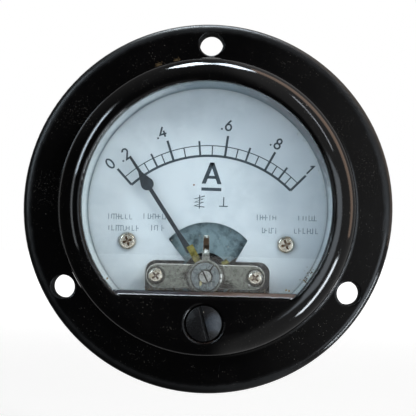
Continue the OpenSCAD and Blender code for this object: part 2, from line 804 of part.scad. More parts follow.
module zero_lever() {
    slot_w = 2 * (crank_pin_r + fork_gap);
    fork_w = slot_w + 2 * tine_w;
    fork_end = crank_l + crank_pin_r + fork_reach;
    fork_start = crank_l - crank_offset - crank_pin_r - fork_reach;
    root_r = lever_r - lever_t;
    slope_end = tail_bend_r + tail_slope;
    tail_back_z = spring_z + spring_w + lever_gap;
    bend_shift = lever_t / 4;
    color("#b9b8b0") face_frame() at_pivot() {
        slab(lever_z, lever_z + lever_t) difference() {
            union() {
                circle(lever_r);
                translate([-fork_w / 2, -fork_end]) square([fork_w, fork_end]);
            }
            circle(bush_r + lever_gap);
            translate([-slot_w / 2, -fork_end - over])
                square([slot_w, fork_end + over - fork_start]);
        }
        // The tail tapers, and is bent back to the plane of the hairspring.
        intersection() {
            translate([-tail_w, 0, 0]) rotate([90, 0, 90]) linear_extrude(height = 2 * tail_w)
                polygon([
                    [root_r, lever_z], [tail_bend_r, lever_z],
                    [slope_end, tail_back_z], [tail_end_r, tail_back_z],
                    [tail_end_r, tail_back_z + lever_t],
                    [slope_end + bend_shift, tail_back_z + lever_t],
                    [tail_bend_r + bend_shift, lever_z + lever_t], [root_r, lever_z + lever_t]
                ]);
            slab(tail_back_z - over, lever_z + lever_t + over) polygon([
                [-tail_w / 2, 0], [-tail_w / 2, lever_r],
                [-tail_tip_w / 2, tail_end_r], [-tail_tip_w / 2, tail_end_r + over],
                [tail_tip_w / 2, tail_end_r + over], [tail_tip_w / 2, tail_end_r],
                [tail_w / 2, lever_r], [tail_w / 2, 0]
            ]);
        }
    }
}

module lever_washer() {
    color("#a8a9a4") face_frame() at_pivot() slab(washer_z, washer_z + washer_t) difference() {
        circle(washer_r);
        circle(bush_r + lever_gap);
        rotate([0, 0, -35]) translate([-washer_slit / 2, 0]) square([washer_slit, 2 * washer_r]);
    }
}

// Dial plate and what carries it.

module fan_outline() {
    left = fan_foot_offset - fan_foot_x;
    right = fan_foot_offset + fan_foot_x;
    intersection() {
        circle(fan_r);
        polygon([
            [left, 0], [left, fan_foot_h], [-fan_shoulder_x, fan_shoulder_h],
            [-fan_shoulder_x, fan_r + over], [fan_shoulder_x, fan_r + over],
            [fan_shoulder_x, fan_shoulder_h], [right, fan_foot_h], [right, 0]
        ]);
    }
}

module dial_plate() {
    notch_bottom = 2 * (dial_r - pivot_drop);
    color("#d3dde2") face_frame() difference() {
        slab(dial_back_z, dial_face_z) difference() {
            intersection() {
                circle(dial_r, $fn = 128);
                above(-dial_drop);
            }
            at_pivot() translate([cutout_offset, 0]) {
                fan_outline();
                translate([0, notch_h - notch_bottom / 2])
                    rounded_rect(2 * notch_x, notch_bottom, notch_corner_r);
            }
        }
        both_sides(dial_screw_x, -dial_screw_drop)
            bar(small_screw_r + screw_gap, dial_back_z - over, dial_face_z + over);
    }
}

module dial_screws() {
    color("#c9c6bd") face_frame() both_sides(dial_screw_x, -dial_screw_drop)
        translate([0, 0, dial_face_z]) rotate([0, 0, 20])
            pan_screw(small_screw_r, small_screw_l, small_head_r, small_head_h);
}

// Post with a blind thread in its front end.
module post(r, z0, z1) {
    difference() {
        bar(r, z0, z1);
        bar(small_screw_r + thread_gap, z1 - small_screw_l - thread_end, z1 + over);
    }
}

module dial_posts() {
    color("#b59a55") face_frame() both_sides(dial_screw_x, -dial_screw_drop)
        post(dial_post_r, plate_front_z, dial_back_z);
}

module bridge() {
    color("#b3b1a6") face_frame() at_pivot() difference() {
        union() {
            slab(bridge_z, bridge_front_z) rounded_rect(bridge_l, bridge_w, bridge_corner_r);
            intersection() {
                bar(land_r, bridge_z, bridge_front_z + land_h);
                slab(bridge_z, bridge_front_z + over) square([bridge_l, bridge_w], center = true);
            }
        }
        bar(bush_r + hub_gap, bridge_z - over, bridge_front_z + over);
        both_sides(bridge_screw_x)
            bar(small_screw_r + screw_gap, bridge_z - over, bridge_front_z + over);
    }
}

module bridge_screws() {
    color("#bdb59c") face_frame() at_pivot() both_sides(bridge_screw_x)
        translate([0, 0, bridge_front_z]) rotate([0, 0, 40])
            pan_screw(small_screw_r, small_screw_l, bridge_head_r, small_head_h);
}

module bridge_posts() {
    color("#b59a55") face_frame() at_pivot() both_sides(bridge_screw_x)
        post(bridge_post_r, plate_front_z, bridge_z);
}

module jewel_bush() {
    color("#c3a55a") face_frame() at_pivot() difference() {
        union() {
            bar(bush_r, bridge_z - bush_flange_t, bush_front_z);
            bar(bush_r + bush_flange_w, bridge_z - bush_flange_t, bridge_z);
        }
        bar(jewel_r + thread_gap, bridge_z - over, bush_front_z + over);
    }
}

// Jewel screw with its cup at z = 0 and its slotted head at z = l.
module jewel_screw(l) {
    difference() {
        bar(jewel_r, 0, l);
        cylinder(r1 = cup_r, r2 = cup_end_r, h = cup_depth);
        rotate([0, 0, jewel_slot_lean])
            translate([-jewel_slot_w / 2, -2 * jewel_r, l - jewel_slot_depth])
                cube([jewel_slot_w, 4 * jewel_r, over]);
    }
}

module front_jewel_screw() {
    color("#c7c6bf") face_frame() at_pivot()
        translate([0, 0, front_jewel_z]) jewel_screw(front_jewel_l);
}

// Moving system: it turns on the spindle and is drawn upright, then leaned to its rest.

module at_rest_angle() at_pivot() rotate([0, 0, pointer_rest]) children();

// Tapered foot, arm, round spade and long thin tip, as one outline about the centre line.
module pointer_outline() {
    arc_steps = 12;
    lean = acos(spade_w / 2 / spade_point);
    arc_start = 180 - asin(arm_w / spade_w);
    right = concat(
        [[foot_w / 2, carrier_l - 1], [arm_w / 2, foot_end_r]],
        [for (i = [0:arc_steps])
            let (turn = arc_start + (lean - arc_start) * i / arc_steps)
            [0, spade_r] + spade_w / 2 * [sin(turn), cos(turn)]],
        [[tip_w / 2, spade_r + spade_point], [tip_w / 2, pointer_l]]
    );
    last = len(right) - 1;
    polygon(concat(right, [for (i = [last:-1:0]) [-right[i].x, right[i].y]]));
}

module pointer() {
    color("#1d2226") face_frame() at_rest_angle()
        slab(pointer_z, pointer_z + pointer_t) pointer_outline();
}

module pointer_carrier() {
    color("#9b8636") face_frame() at_rest_angle() slab(carrier_z, carrier_z + carrier_t)
        difference() {
            union() {
                circle(carrier_hub_r);
                rotate([0, 0, -carrier_turn])
                    translate([-carrier_w / 2, 0]) square([carrier_w, carrier_l]);
                for (turn = [-90, 180]) rotate([0, 0, turn])
                    translate([-balance_w / 2, 0]) square([balance_w, balance_l]);
            }
            circle(spindle_r + hub_gap);
        }
}

module balance_weights() {
    color("#a08a3c") face_frame() at_rest_angle() for (turn = [-90, 180]) rotate([0, 0, turn])
        translate([0, balance_l - weight_l - weight_inset, carrier_z + carrier_t / 2]) difference() {
            rotate([-90, 0, 0]) cylinder(r = weight_r, h = weight_l);
            translate([-balance_w / 2 - hub_gap, -over, -carrier_t / 2 - hub_gap])
                cube([balance_w + 2 * hub_gap, weight_l + 2 * over, carrier_t + 2 * hub_gap]);
        }
}

module spindle() {
    shoulder_front_z = tip_front_z - tip_l;
    shoulder_back_z = tip_back_z + tip_l;
    color("#cfd2d4") face_frame() at_pivot() {
        bar(spindle_r, shoulder_back_z, shoulder_front_z);
        translate([0, 0, shoulder_front_z]) cylinder(r1 = tip_base_r, r2 = tip_end_r, h = tip_l);
        translate([0, 0, tip_back_z]) cylinder(r1 = tip_end_r, r2 = tip_base_r, h = tip_l);
    }
}

module spring_collet() {
    color("#c3a55a") face_frame() at_pivot()
        slab(carrier_z + carrier_t, spring_z + spring_w) difference() {
            circle(collet_r);
            circle(spindle_r + hub_gap);
        }
}

// Flat spiral from the collet out to the lever's tail, which it meets upright above the pivot.
module hairspring() {
    steps = 24 * spring_turns;
    sweep = 360 * spring_turns;
    end_r = tail_bend_r + tail_slope + 2 * spring_w;
    function spiral(i, side) =
        let (part = i / steps, turn = 90 - sweep + sweep * part)
        (spring_inner_r + (spring_outer_r - spring_inner_r) * part + side * spring_t / 2)
            * [cos(turn), sin(turn)];
    color("#6d5a2e") face_frame() at_pivot() slab(spring_z, spring_z + spring_w) {
        polygon(concat(
            [for (i = [0:steps]) spiral(i, 1)],
            [for (i = [steps:-1:0]) spiral(i, -1)]
        ));
        translate([-spring_t / 2, spring_outer_r - spring_t / 2])
            square([spring_t, end_r - spring_outer_r]);
    }
}

module damping_vane() {
    vane_r = chamber_r - chamber_wall - vane_gap;
    vane_back = plate_front_z + chamber_wall + vane_gap;
    vane_front = chamber_front_z - vane_gap;
    color("#c9ccce") face_frame() at_rest_angle() difference() {
        union() {
            bar(hub_r, vane_back, vane_front);
            translate([-vane_t / 2, 0, vane_back]) cube([vane_t, vane_r, vane_front - vane_back]);
        }
        bar(spindle_r + hub_gap, vane_back - over, vane_front + over);
    }
}

module moving_iron() {
    iron_mid = (plate_back_z + bobbin_back_z) / 2;
    inner = moving_iron_r - iron_t;
    color("#70757a") face_frame() at_rest_angle() {
        slab(iron_mid - moving_iron_l / 2, iron_mid + moving_iron_l / 2) difference() {
            sector(moving_iron_r, -moving_iron_angle / 2, moving_iron_angle / 2);
            circle(inner);
        }
        for (z = [iron_mid - moving_iron_l / 2, iron_mid + moving_iron_l / 2 - iron_t])
            slab(z, z + iron_t) difference() {
                union() {
                    circle(hub_r);
                    translate([-spoke_w / 2, 0]) square([spoke_w, inner + iron_t / 2]);
                }
                circle(spindle_r + hub_gap);
            }
    }
}

// Damping chamber: a keyhole-shaped box whose cover shows through the dial.

module chamber_outline(inset) {
    reach = 4 * chamber_r;
    side = [sin(chamber_half_angle), cos(chamber_half_angle)];
    apex = [0, inset / side.x];
    circle(cover_hole_r + cover_rim_w - inset);
    intersection() {
        circle(chamber_r - inset);
        polygon([apex, apex + reach * [-side.x, side.y], [0, 2 * reach], apex + reach * side]);
    }
}

module damping_chamber() {
    color("#4d5759") face_frame() at_pivot() difference() {
        slab(plate_front_z, chamber_front_z) chamber_outline(0);
        slab(plate_front_z + chamber_wall, chamber_front_z + over) chamber_outline(chamber_wall);
        bar(spindle_hole_r, plate_front_z - over, chamber_front_z);
    }
}

module chamber_cover() {
    color("#66767c") face_frame() at_pivot()
        slab(chamber_front_z, chamber_front_z + cover_t) difference() {
            chamber_outline(0);
            circle(cover_hole_r);
        }
}

// Movement plate, coil and rear bearing.

module plate_outline() {
    arm_bottom = -dial_screw_drop - plate_arm_reach;
    foot_bottom = -pivot_drop - plate_foot_drop;
    translate([0, (plate_top_h + arm_bottom) / 2])
        rounded_rect(plate_arm_w, plate_top_h - arm_bottom, plate_corner_r);
    translate([0, (plate_top_h + foot_bottom) / 2])
        rounded_rect(plate_foot_w, plate_top_h - foot_bottom, plate_corner_r);
}

module movement_plate() {
    color("#8f9394") face_frame() difference() {
        slab(plate_back_z, plate_front_z) plate_outline();
        at_pivot() bar(spindle_hole_r, plate_back_z - over, plate_front_z + over);
        both_sides(plate_post_x)
            bar(case_screw_r + case_screw_gap, plate_back_z - over, plate_front_z + over);
    }
}

module plate_screws() {
    color("#c9c6bd") face_frame() both_sides(plate_post_x) translate([0, 0, plate_front_z])
        pan_screw(case_screw_r, plate_screw_l, plate_head_r, plate_head_h);
}

module coil_bobbin() {
    color("#3a2a1e") face_frame() at_pivot() difference() {
        union() {
            bar(bobbin_bore_r + bobbin_wall, bobbin_back_z, plate_back_z);
            bar(bobbin_r, bobbin_back_z, bobbin_back_z + bobbin_flange_t);
            bar(bobbin_r, plate_back_z - bobbin_flange_t, plate_back_z);
        }
        bar(bobbin_bore_r, bobbin_back_z - over, plate_back_z + over);
    }
}

module coil_winding() {
    color("#9a4a22") face_frame() at_pivot()
        slab(
            bobbin_back_z + bobbin_flange_t + coil_gap,
            plate_back_z - bobbin_flange_t - coil_gap
        ) difference() {
            circle(bobbin_r - winding_inset);
            circle(bobbin_bore_r + bobbin_wall + coil_gap);
        }
}

// Curved sheet in the bore, cut to a slope so that it narrows to one side.
module fixed_iron() {
    iron_mid = (plate_back_z + bobbin_back_z) / 2;
    outer = bobbin_bore_r - coil_gap;
    half_l = moving_iron_l / 2;
    color("#70757a") face_frame() at_pivot() intersection() {
        slab(iron_mid - half_l, iron_mid + half_l) difference() {
            sector(outer, -fixed_iron_angle / 2, fixed_iron_angle / 2);
            circle(outer - iron_t);
        }
        translate([0, 0, iron_mid]) rotate([-90, 0, 0]) linear_extrude(height = 2 * outer)
            polygon([
                [-outer, -half_l], [outer, -fixed_iron_end_l / 2],
                [outer, fixed_iron_end_l / 2], [-outer, half_l]
            ]);
    }
}

// Strap folded round the back of the bobbin, with its legs up against the plate.
module rear_bracket() {
    leg_x = bobbin_r + bracket_gap;
    strap_h = plate_back_z - bracket_back_z;
    color("#a3a6a7") face_frame() at_pivot() difference() {
        translate([0, bracket_w / 2, 0]) rotate([90, 0, 0]) linear_extrude(height = bracket_w)
            difference() {
                translate([0, (plate_back_z + bracket_back_z) / 2])
                    rounded_rect(2 * (leg_x + bracket_t), strap_h, bracket_bend_r);
                translate([0, (plate_back_z + bracket_back_z) / 2])
                    rounded_rect(2 * leg_x, strap_h - 2 * bracket_t, bracket_bend_r - bracket_t);
                translate([-leg_x, plate_back_z - 2 * bracket_bend_r])
                    square([2 * leg_x, 3 * bracket_bend_r]);
            }
        bar(jewel_r + thread_gap, bracket_back_z - over, bobbin_back_z + over);
    }
}

module rear_jewel_screw() {
    color("#c3a55a") face_frame() at_pivot()
        translate([0, 0, rear_jewel_z]) mirror([0, 0, 1]) jewel_screw(rear_jewel_l);
}

// Hexagonal nut standing on z = 0, with its corners bevelled at both faces.
module hex_nut(af, h, bore_r) {
    corner_r = af / 2 / cos(30);
    face_r = af / 2 - nut_bevel;
    outer_r = corner_r + nut_bevel;
    rise = (outer_r - face_r) * tan(nut_bevel_angle);
    difference() {
        intersection() {
            cylinder(r = corner_r, h = h, $fn = 6);
            rotate_extrude() polygon([
                [0, 0], [face_r, 0], [outer_r, rise],
                [outer_r, h - rise], [face_r, h], [0, h]
            ]);
        }
        bar(bore_r, -over, h + over);
    }
}

module rear_jewel_nut() {
    color("#c3a55a") face_frame() at_pivot()
        translate([0, 0, bracket_back_z - jewel_nut_h])
            hex_nut(jewel_nut_af, jewel_nut_h, jewel_r + thread_gap);
}

// Tube swept along a list of points, with its ends cut square.
module tube(points, r, sides = 8) {
    last = len(points) - 1;
    function unit(v) = v / norm(v);
    function ring(i) =
        let (along = unit(points[min(i + 1, last)] - points[max(i - 1, 0)]),
            across = unit(cross(along, [1, 0, 0])), third = cross(along, across))
        [for (k = [0:sides - 1]) points[i] + r * (cos(360 * k / sides) * across
            + sin(360 * k / sides) * third)];
    polyhedron(
        points = [for (i = [0:last]) each ring(i)],
        faces = concat(
            [[for (k = [0:sides - 1]) k]],
            [for (i = [0:last - 1], k = [0:sides - 1])
                [i * sides + (k + 1) % sides, i * sides + k,
                    (i + 1) * sides + k, (i + 1) * sides + (k + 1) % sides]],
            [[for (k = [sides - 1:-1:0]) last * sides + k]]
        )
    );
}

// Each lead leaves the winding, bends back past it and ends on the tag of the stud's lug.
module coil_leads() {
    lead_steps = 14;
    edge_r = bobbin_r - winding_inset + lead_r + solder_gap;
    start = [edge_r * sin(lead_angle), edge_r * cos(lead_angle) - pivot_drop,
        plate_back_z - lead_start];
    end = [stud_x, stud_h - stud_head_r - tag_l / 2, case_floor_z + lug_t + solder_gap];
    bends = [start + [lead_r, 4 * lead_r, -lead_slack], end + [0, 0, lead_slack]];
    function lead_point(t) = pow(1 - t, 3) * start + 3 * pow(1 - t, 2) * t * bends[0]
        + 3 * (1 - t) * pow(t, 2) * bends[1] + pow(t, 3) * end;
    color("#8a2f26") face_frame() for (side = [0, 1]) mirror([side, 0, 0])
        tube([for (i = [0:lead_steps]) lead_point(i / lead_steps)], lead_r);
}

// Rear case: a cup with a spigot, two screw columns and two plate posts.

module rear_case() {
    color("#18181a") face_frame() difference() {
        union() {
            difference() {
                union() {
                    rotate_extrude($fn = 128) mirror([0, 1]) intersection() {
                        round_edge_section(case_d / 2, case_depth, case_edge_r);
                        square([case_d, 2 * case_depth]);
                    }
                    bar(case_d / 2 - rim_step, -spigot_root, case_rim_z);
                    bar(spigot_r, case_rim_z - spigot_root, column_top_z);
                }
                bar(case_inner_r, case_floor_z, case_rim_z - spigot_root);
                bar(spigot_r - spigot_wall, case_rim_z - spigot_root - over, column_top_z + over);
            }
            intersection() {
                bar(case_inner_r + case_wall / 2, case_floor_z - over, case_rim_z - spigot_root);
                both_sides(case_screw_x, -case_screw_drop)
                    bar(column_r, case_floor_z - over, case_rim_z);
            }
            both_sides(case_screw_x, -case_screw_drop)
                bar(neck_r, case_floor_z - over, column_top_z);
            both_sides(plate_post_x) bar(plate_post_r, case_floor_z - over, plate_back_z);
        }
        both_sides(case_screw_x, -case_screw_drop) {
            bar(case_screw_r + case_screw_gap, case_back_z - over, column_top_z + over);
            bar(case_head_r + case_screw_gap, case_back_z - over, case_head_z);
        }
        both_sides(plate_post_x)
            bar(case_screw_r + thread_gap, plate_screw_end_z - thread_end, plate_back_z + over);
        both_sides(stud_x, stud_h)
            bar(stud_r + stud_gap, case_back_z - over, case_floor_z + over);
    }
}

module case_screws() {
    screw_l = case_hole_end_z - case_hole_end - case_head_z;
    color("#b9b3a0") face_frame() both_sides(case_screw_x, -case_screw_drop)
        translate([0, 0, case_head_z]) mirror([0, 0, 1])
            pan_screw(case_screw_r, screw_l, case_head_r, case_head_h);
}

module terminal_studs() {
    color("#bf9f4f") face_frame() both_sides(stud_x, stud_h) {
        bar(stud_head_r, case_floor_z + lug_t, case_floor_z + lug_t + stud_head_h);
        bar(stud_r, case_back_z - stud_l, case_floor_z + lug_t);
    }
}

module solder_lugs() {
    reach = stud_head_r + tag_l;
    color("#c5bfa8") face_frame() both_sides(stud_x, stud_h)
        slab(case_floor_z, case_floor_z + lug_t) difference() {
            union() {
                circle(stud_head_r);
                translate([-tag_w / 2, -reach]) square([tag_w, reach]);
            }
            circle(stud_r + stud_gap);
        }
}

// From the case outwards: washer, nut, washer, nut.

module terminal_washers() {
    color("#c9c6bd") face_frame() both_sides(stud_x, stud_h)
        for (drop = [terminal_washer_t, nut_h + 2 * terminal_washer_t])
            slab(case_back_z - drop, case_back_z - drop + terminal_washer_t) difference() {
                circle(terminal_washer_r);
                circle(stud_r + stud_gap);
            }
}

module terminal_nuts() {
    step = nut_h + terminal_washer_t;
    color("#c0a050") face_frame() both_sides(stud_x, stud_h) for (drop = [step, 2 * step])
        translate([0, 0, case_back_z - drop]) hex_nut(nut_af, nut_h, stud_r + thread_gap);
}

front_cover();
window_glass();
glass_shroud();
zero_screw();
zero_screw_clip();
zero_lever();
lever_washer();
dial_plate();
dial_screws();
dial_posts();
bridge();
bridge_screws();
bridge_posts();
jewel_bush();
front_jewel_screw();
pointer();
pointer_carrier();
balance_weights();
spindle();
spring_collet();
hairspring();
damping_vane();
moving_iron();
damping_chamber();
chamber_cover();
movement_plate();
plate_screws();
coil_bobbin();
coil_winding();
fixed_iron();
rear_bracket();
rear_jewel_screw();
rear_jewel_nut();
coil_leads();
rear_case();
case_screws();
terminal_studs();
solder_lugs();
terminal_washers();
terminal_nuts();
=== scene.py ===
# %% [markdown]
# # A round panel ammeter
# A moving-iron ammeter in a black moulded case. The solids come from the CAD frame, so each has
# its true place already. This lesson gives them their finishes, prints the dial, cuts the
# threads of the terminals and lights the whole as in a small studio. All sizes are in metres,
# the dial faces -Y and +Z is up.

# %% Frame
import math
import random

import bmesh
import bpy
from mathutils import Matrix, Vector


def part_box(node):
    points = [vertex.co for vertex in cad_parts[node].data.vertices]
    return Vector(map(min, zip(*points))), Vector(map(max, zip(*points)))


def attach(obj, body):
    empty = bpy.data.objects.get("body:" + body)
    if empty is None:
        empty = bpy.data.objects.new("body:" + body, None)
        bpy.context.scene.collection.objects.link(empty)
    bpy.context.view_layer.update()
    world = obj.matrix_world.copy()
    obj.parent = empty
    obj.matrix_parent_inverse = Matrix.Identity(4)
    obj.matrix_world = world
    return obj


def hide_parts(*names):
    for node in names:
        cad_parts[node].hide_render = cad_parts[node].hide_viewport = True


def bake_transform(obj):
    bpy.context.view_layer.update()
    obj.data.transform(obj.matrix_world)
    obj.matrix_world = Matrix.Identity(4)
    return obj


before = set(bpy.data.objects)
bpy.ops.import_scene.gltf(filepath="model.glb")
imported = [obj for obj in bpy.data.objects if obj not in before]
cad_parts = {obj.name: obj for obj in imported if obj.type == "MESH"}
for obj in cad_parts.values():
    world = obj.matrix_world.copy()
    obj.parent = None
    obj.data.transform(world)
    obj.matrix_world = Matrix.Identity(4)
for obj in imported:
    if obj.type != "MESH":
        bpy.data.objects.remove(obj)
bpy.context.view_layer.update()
MM = 0.001
print("CAD nodes:", len(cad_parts))

# %% [markdown]
# ## Places on the meter
# Two points carry everything that is drawn: the pivot, about which the pointer turns, and the
# face of the dial. Both are read from the solids, so the print stays right if a size changes.

# %% Pivot and dial face
spindle_low, spindle_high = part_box("spindle")
PIVOT = Vector(((spindle_low.x + spindle_high.x) / 2, 0, (spindle_low.z + spindle_high.z) / 2))
DIAL_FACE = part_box("dial_plate")[0].y
FLANGE_BEFORE_DIAL = 0.6 * MM
FLANGE_FRONT = DIAL_FACE - FLANGE_BEFORE_DIAL


def on_dial(x, up):
    """The point of the dial's face that lies x mm right of the axis and up mm above it."""
    return Vector((x * MM, DIAL_FACE, up * MM))


print("pivot at", [round(v / MM, 2) for v in PIVOT], "dial face at", round(DIAL_FACE / MM, 2))

# %% [markdown]
# ## Camera
# The meter is seen from close by and almost square on, a little from below its axis. The short
# distance makes the domed bezel hide a bit of the flange, so it matters more than the lens. The
# camera aims at the middle of the flange and is rolled slightly, since the meter leans.

# %% Camera
CAMERA_FROM_FLANGE = 175 * MM
SENSOR_MM, LENS_MM, LEAN_DEG = 36, 86.54, 1.4
camera_data = bpy.data.cameras.new("reader")
camera_data.sensor_width = SENSOR_MM
camera_data.lens = LENS_MM
camera = bpy.data.objects.new("reader", camera_data)
bpy.context.scene.collection.objects.link(camera)
camera_place = Vector((3.0 * MM, FLANGE_FRONT - CAMERA_FROM_FLANGE, -6.2 * MM))
aim = Vector((0.095 * MM, FLANGE_FRONT, -0.056 * MM))
look = (aim - camera_place).to_track_quat("-Z", "Y").to_matrix().to_4x4()
camera.matrix_world = (
    Matrix.Translation(camera_place) @ look @ Matrix.Rotation(math.radians(LEAN_DEG), 4, "Z")
)
bpy.context.scene.camera = camera
bpy.context.scene.view_settings.view_transform = "Standard"
print("camera", [round(v / MM, 1) for v in camera_place])

# %% [markdown]
# ## Shader helpers
# A material is a small graph. put() adds one node and fills its sockets, from plain values or
# from the outputs of other nodes, so that a finish reads from top to bottom like a recipe.


# %% Node helpers
def put(tree, kind, inputs=None, **settings):
    """Add a node, set its properties, and fill or link its inputs."""
    made = tree.nodes.new(kind)
    for name, value in settings.items():
        setattr(made, name, value)
    for socket, value in (inputs or {}).items():
        if isinstance(value, bpy.types.NodeSocket):
            tree.links.new(value, made.inputs[socket])
        else:
            made.inputs[socket].default_value = value
    return made


def math_node(tree, operation, a, b=0.0, clamp=False):
    """One math step, given back as its output socket."""
    made = put(tree, "ShaderNodeMath", {0: a, 1: b}, operation=operation, use_clamp=clamp)
    return made.outputs[0]


def inverse(tree, mask):
    """One minus a mask."""
    return math_node(tree, "SUBTRACT", 1.0, mask)


def step_between(tree, value, low, high):
    """Rise smoothly from 0 at low to 1 at high."""
    made = put(
        tree, "ShaderNodeMapRange", {"Value": value, "From Min": low, "From Max": high},
        interpolation_type="SMOOTHSTEP",
    )
    return made.outputs["Result"]


print("node helpers ready")


# %% Colour helpers
def mix_colour(tree, factor, a, b):
    """Blend colour a into colour b by factor, given back as a socket."""
    made = put(tree, "ShaderNodeMix", data_type="RGBA")
    for name, value in (("Factor", factor), ("A", a), ("B", b)):
        socket = [s for s in made.inputs if s.name == name and s.enabled][0]
        if isinstance(value, bpy.types.NodeSocket):
            tree.links.new(value, socket)
        else:
            socket.default_value = value
    return [s for s in made.outputs if s.enabled][0]


def lay_over(tree, colour, mask, share, top):
    """Lay a top colour over another where a mask is, and there only by a share."""
    return mix_colour(tree, math_node(tree, "MULTIPLY", mask, share), colour, top)


def rgba(red, green, blue):
    """Linear colour from the three values that a screen shows, each from 0 to 255."""
    def linear(value):
        value /= 255
        return value / 12.92 if value <= 0.04045 else ((value + 0.055) / 1.055) ** 2.4
    return (linear(red), linear(green), linear(blue), 1.0)


print("mid grey is", round(rgba(128, 128, 128)[0], 3), "in linear light")

# %% [markdown]
# ## Node groups
# Dust, grime or a stain is the same recipe on every material, with other amounts. Such a recipe is
# built once as a node group with named sockets. It could be copied into each material instead, but
# then a better idea for the dust would have to be typed in many times.


# %% Group frame
def new_group(name, inputs, outputs):
    """Start a node group with named sockets. Each input is (name, kind, value)."""
    group = bpy.data.node_groups.new(name, "ShaderNodeTree")
    for socket_name, kind, value in inputs:
        socket = group.interface.new_socket(socket_name, in_out="INPUT", socket_type=kind)
        if value is not None:
            socket.default_value = value
    for socket_name, kind in outputs:
        group.interface.new_socket(socket_name, in_out="OUTPUT", socket_type=kind)
    return group, group.nodes.new("NodeGroupInput").outputs, group.nodes.new("NodeGroupOutput")


def object_place(tree):
    """Position on the object in metres. It stays with the piece when a joint turns."""
    return put(tree, "ShaderNodeTexCoord").outputs["Object"]


FLOAT, COLOUR, VECTOR = "NodeSocketFloat", "NodeSocketColor", "NodeSocketVector"
print("socket kinds:", FLOAT, COLOUR, VECTOR)

# %% [markdown]
# ## Mottled tone
# No surface has one even colour: paint ages in patches and metal tarnishes in clouds. Two noises,
# one broad and one fine, push the colour from a light tone to a dark one. The same group serves
# the paint, the metals and the mouldings, each with its own size of patch.

# %% Group: mottled tone
tone_group, given, result = new_group(
    "mottled_tone",
    [("Light", COLOUR, None), ("Dark", COLOUR, None), ("Scale", FLOAT, 400.0),
     ("Low", FLOAT, 0.4), ("High", FLOAT, 0.7)],
    [("Color", COLOUR), ("Mask", FLOAT)],
)
place = object_place(tone_group)
broad = put(
    tone_group, "ShaderNodeTexNoise",
    {"Vector": place, "Scale": given["Scale"], "Detail": 3.0, "Roughness": 0.6},
)
fine_scale = math_node(tone_group, "MULTIPLY", given["Scale"], 4.3)
fine = put(
    tone_group, "ShaderNodeTexNoise",
    {"Vector": place, "Scale": fine_scale, "Detail": 2.0, "Roughness": 0.7},
)
both = math_node(
    tone_group, "ADD",
    math_node(tone_group, "MULTIPLY", broad.outputs["Fac"], 0.65),
    math_node(tone_group, "MULTIPLY", fine.outputs["Fac"], 0.35),
)
cloud = step_between(tone_group, both, given["Low"], given["High"])
tone_group.links.new(cloud, result.inputs["Mask"])
tone_group.links.new(
    mix_colour(tone_group, cloud, given["Light"], given["Dark"]), result.inputs["Color"]
)
print("group", tone_group.name)

# %% [markdown]
# ## Specks
# Dust, grit and chips are small separate dots of different sizes. A Voronoi texture gives one
# random point to each cell, and a dot is drawn where the point is near. A second, random value
# of the cell drops most of the dots, so that they don't fall into a pattern. A little noise is
# added to the place before that, which makes the dots ragged instead of round.

# %% Group: specks
speck_group, given, result = new_group(
    "specks",
    [("Scale", FLOAT, 900.0), ("Size", FLOAT, 0.2), ("Share", FLOAT, 0.2),
     ("Shift", VECTOR, None)],
    [("Mask", FLOAT)],
)
shifted = put(
    speck_group, "ShaderNodeVectorMath", {0: object_place(speck_group), 1: given["Shift"]},
    operation="ADD",
).outputs[0]
jitter = put(
    speck_group, "ShaderNodeTexNoise",
    {"Vector": shifted, "Scale": math_node(speck_group, "MULTIPLY", given["Scale"], 3.0),
     "Detail": 1.0},
)
jitter_size = math_node(speck_group, "DIVIDE", 0.5, given["Scale"])
jitter_box = put(speck_group, "ShaderNodeCombineXYZ",
                 {0: jitter_size, 1: jitter_size, 2: jitter_size}).outputs[0]
ragged = put(
    speck_group, "ShaderNodeVectorMath",
    {0: jitter.outputs["Color"], 1: jitter_box, 2: shifted}, operation="MULTIPLY_ADD",
).outputs[0]
cells = put(
    speck_group, "ShaderNodeTexVoronoi", {"Vector": ragged, "Scale": given["Scale"]},
    feature="F1",
)
lot = put(speck_group, "ShaderNodeSeparateColor", {"Color": cells.outputs["Color"]})
kept = math_node(speck_group, "LESS_THAN", lot.outputs["Red"], given["Share"])
reach = math_node(speck_group, "MULTIPLY", given["Size"], lot.outputs["Green"])
near = math_node(speck_group, "LESS_THAN", cells.outputs["Distance"], reach)
speck_group.links.new(math_node(speck_group, "MULTIPLY", kept, near), result.inputs["Mask"])
print("group", speck_group.name)

# %% [markdown]
# ## Grime in the creases
# Dirt stays where a cloth doesn't reach: round screw heads, in slots and in corners. Ambient
# occlusion measures how closed in a point is, and a noise breaks its edge up.

# %% Group: crease grime
grime_group, given, result = new_group(
    "crease_grime",
    [("Distance", FLOAT, 0.0006), ("Strength", FLOAT, 1.0), ("Scale", FLOAT, 1500.0)],
    [("Mask", FLOAT)],
)
closed_in = put(grime_group, "ShaderNodeAmbientOcclusion", {"Distance": given["Distance"]},
                samples=6)
depth = inverse(grime_group, closed_in.outputs["AO"])
uneven = put(
    grime_group, "ShaderNodeTexNoise",
    {"Vector": object_place(grime_group), "Scale": given["Scale"], "Detail": 2.0},
)
amount = math_node(grime_group, "MULTIPLY", depth, given["Strength"])
patchy = math_node(
    grime_group, "MULTIPLY", amount,
    math_node(grime_group, "ADD", uneven.outputs["Fac"], 0.5), clamp=True,
)
grime_group.links.new(patchy, result.inputs["Mask"])
print("group", grime_group.name)

# %% [markdown]
# ## Hairline scratches
# A scratch is long, thin and nearly straight. Noise that is squeezed along one axis gives long
# streaks, and only its highest ridges are kept. Each material turns the streaks its own way.

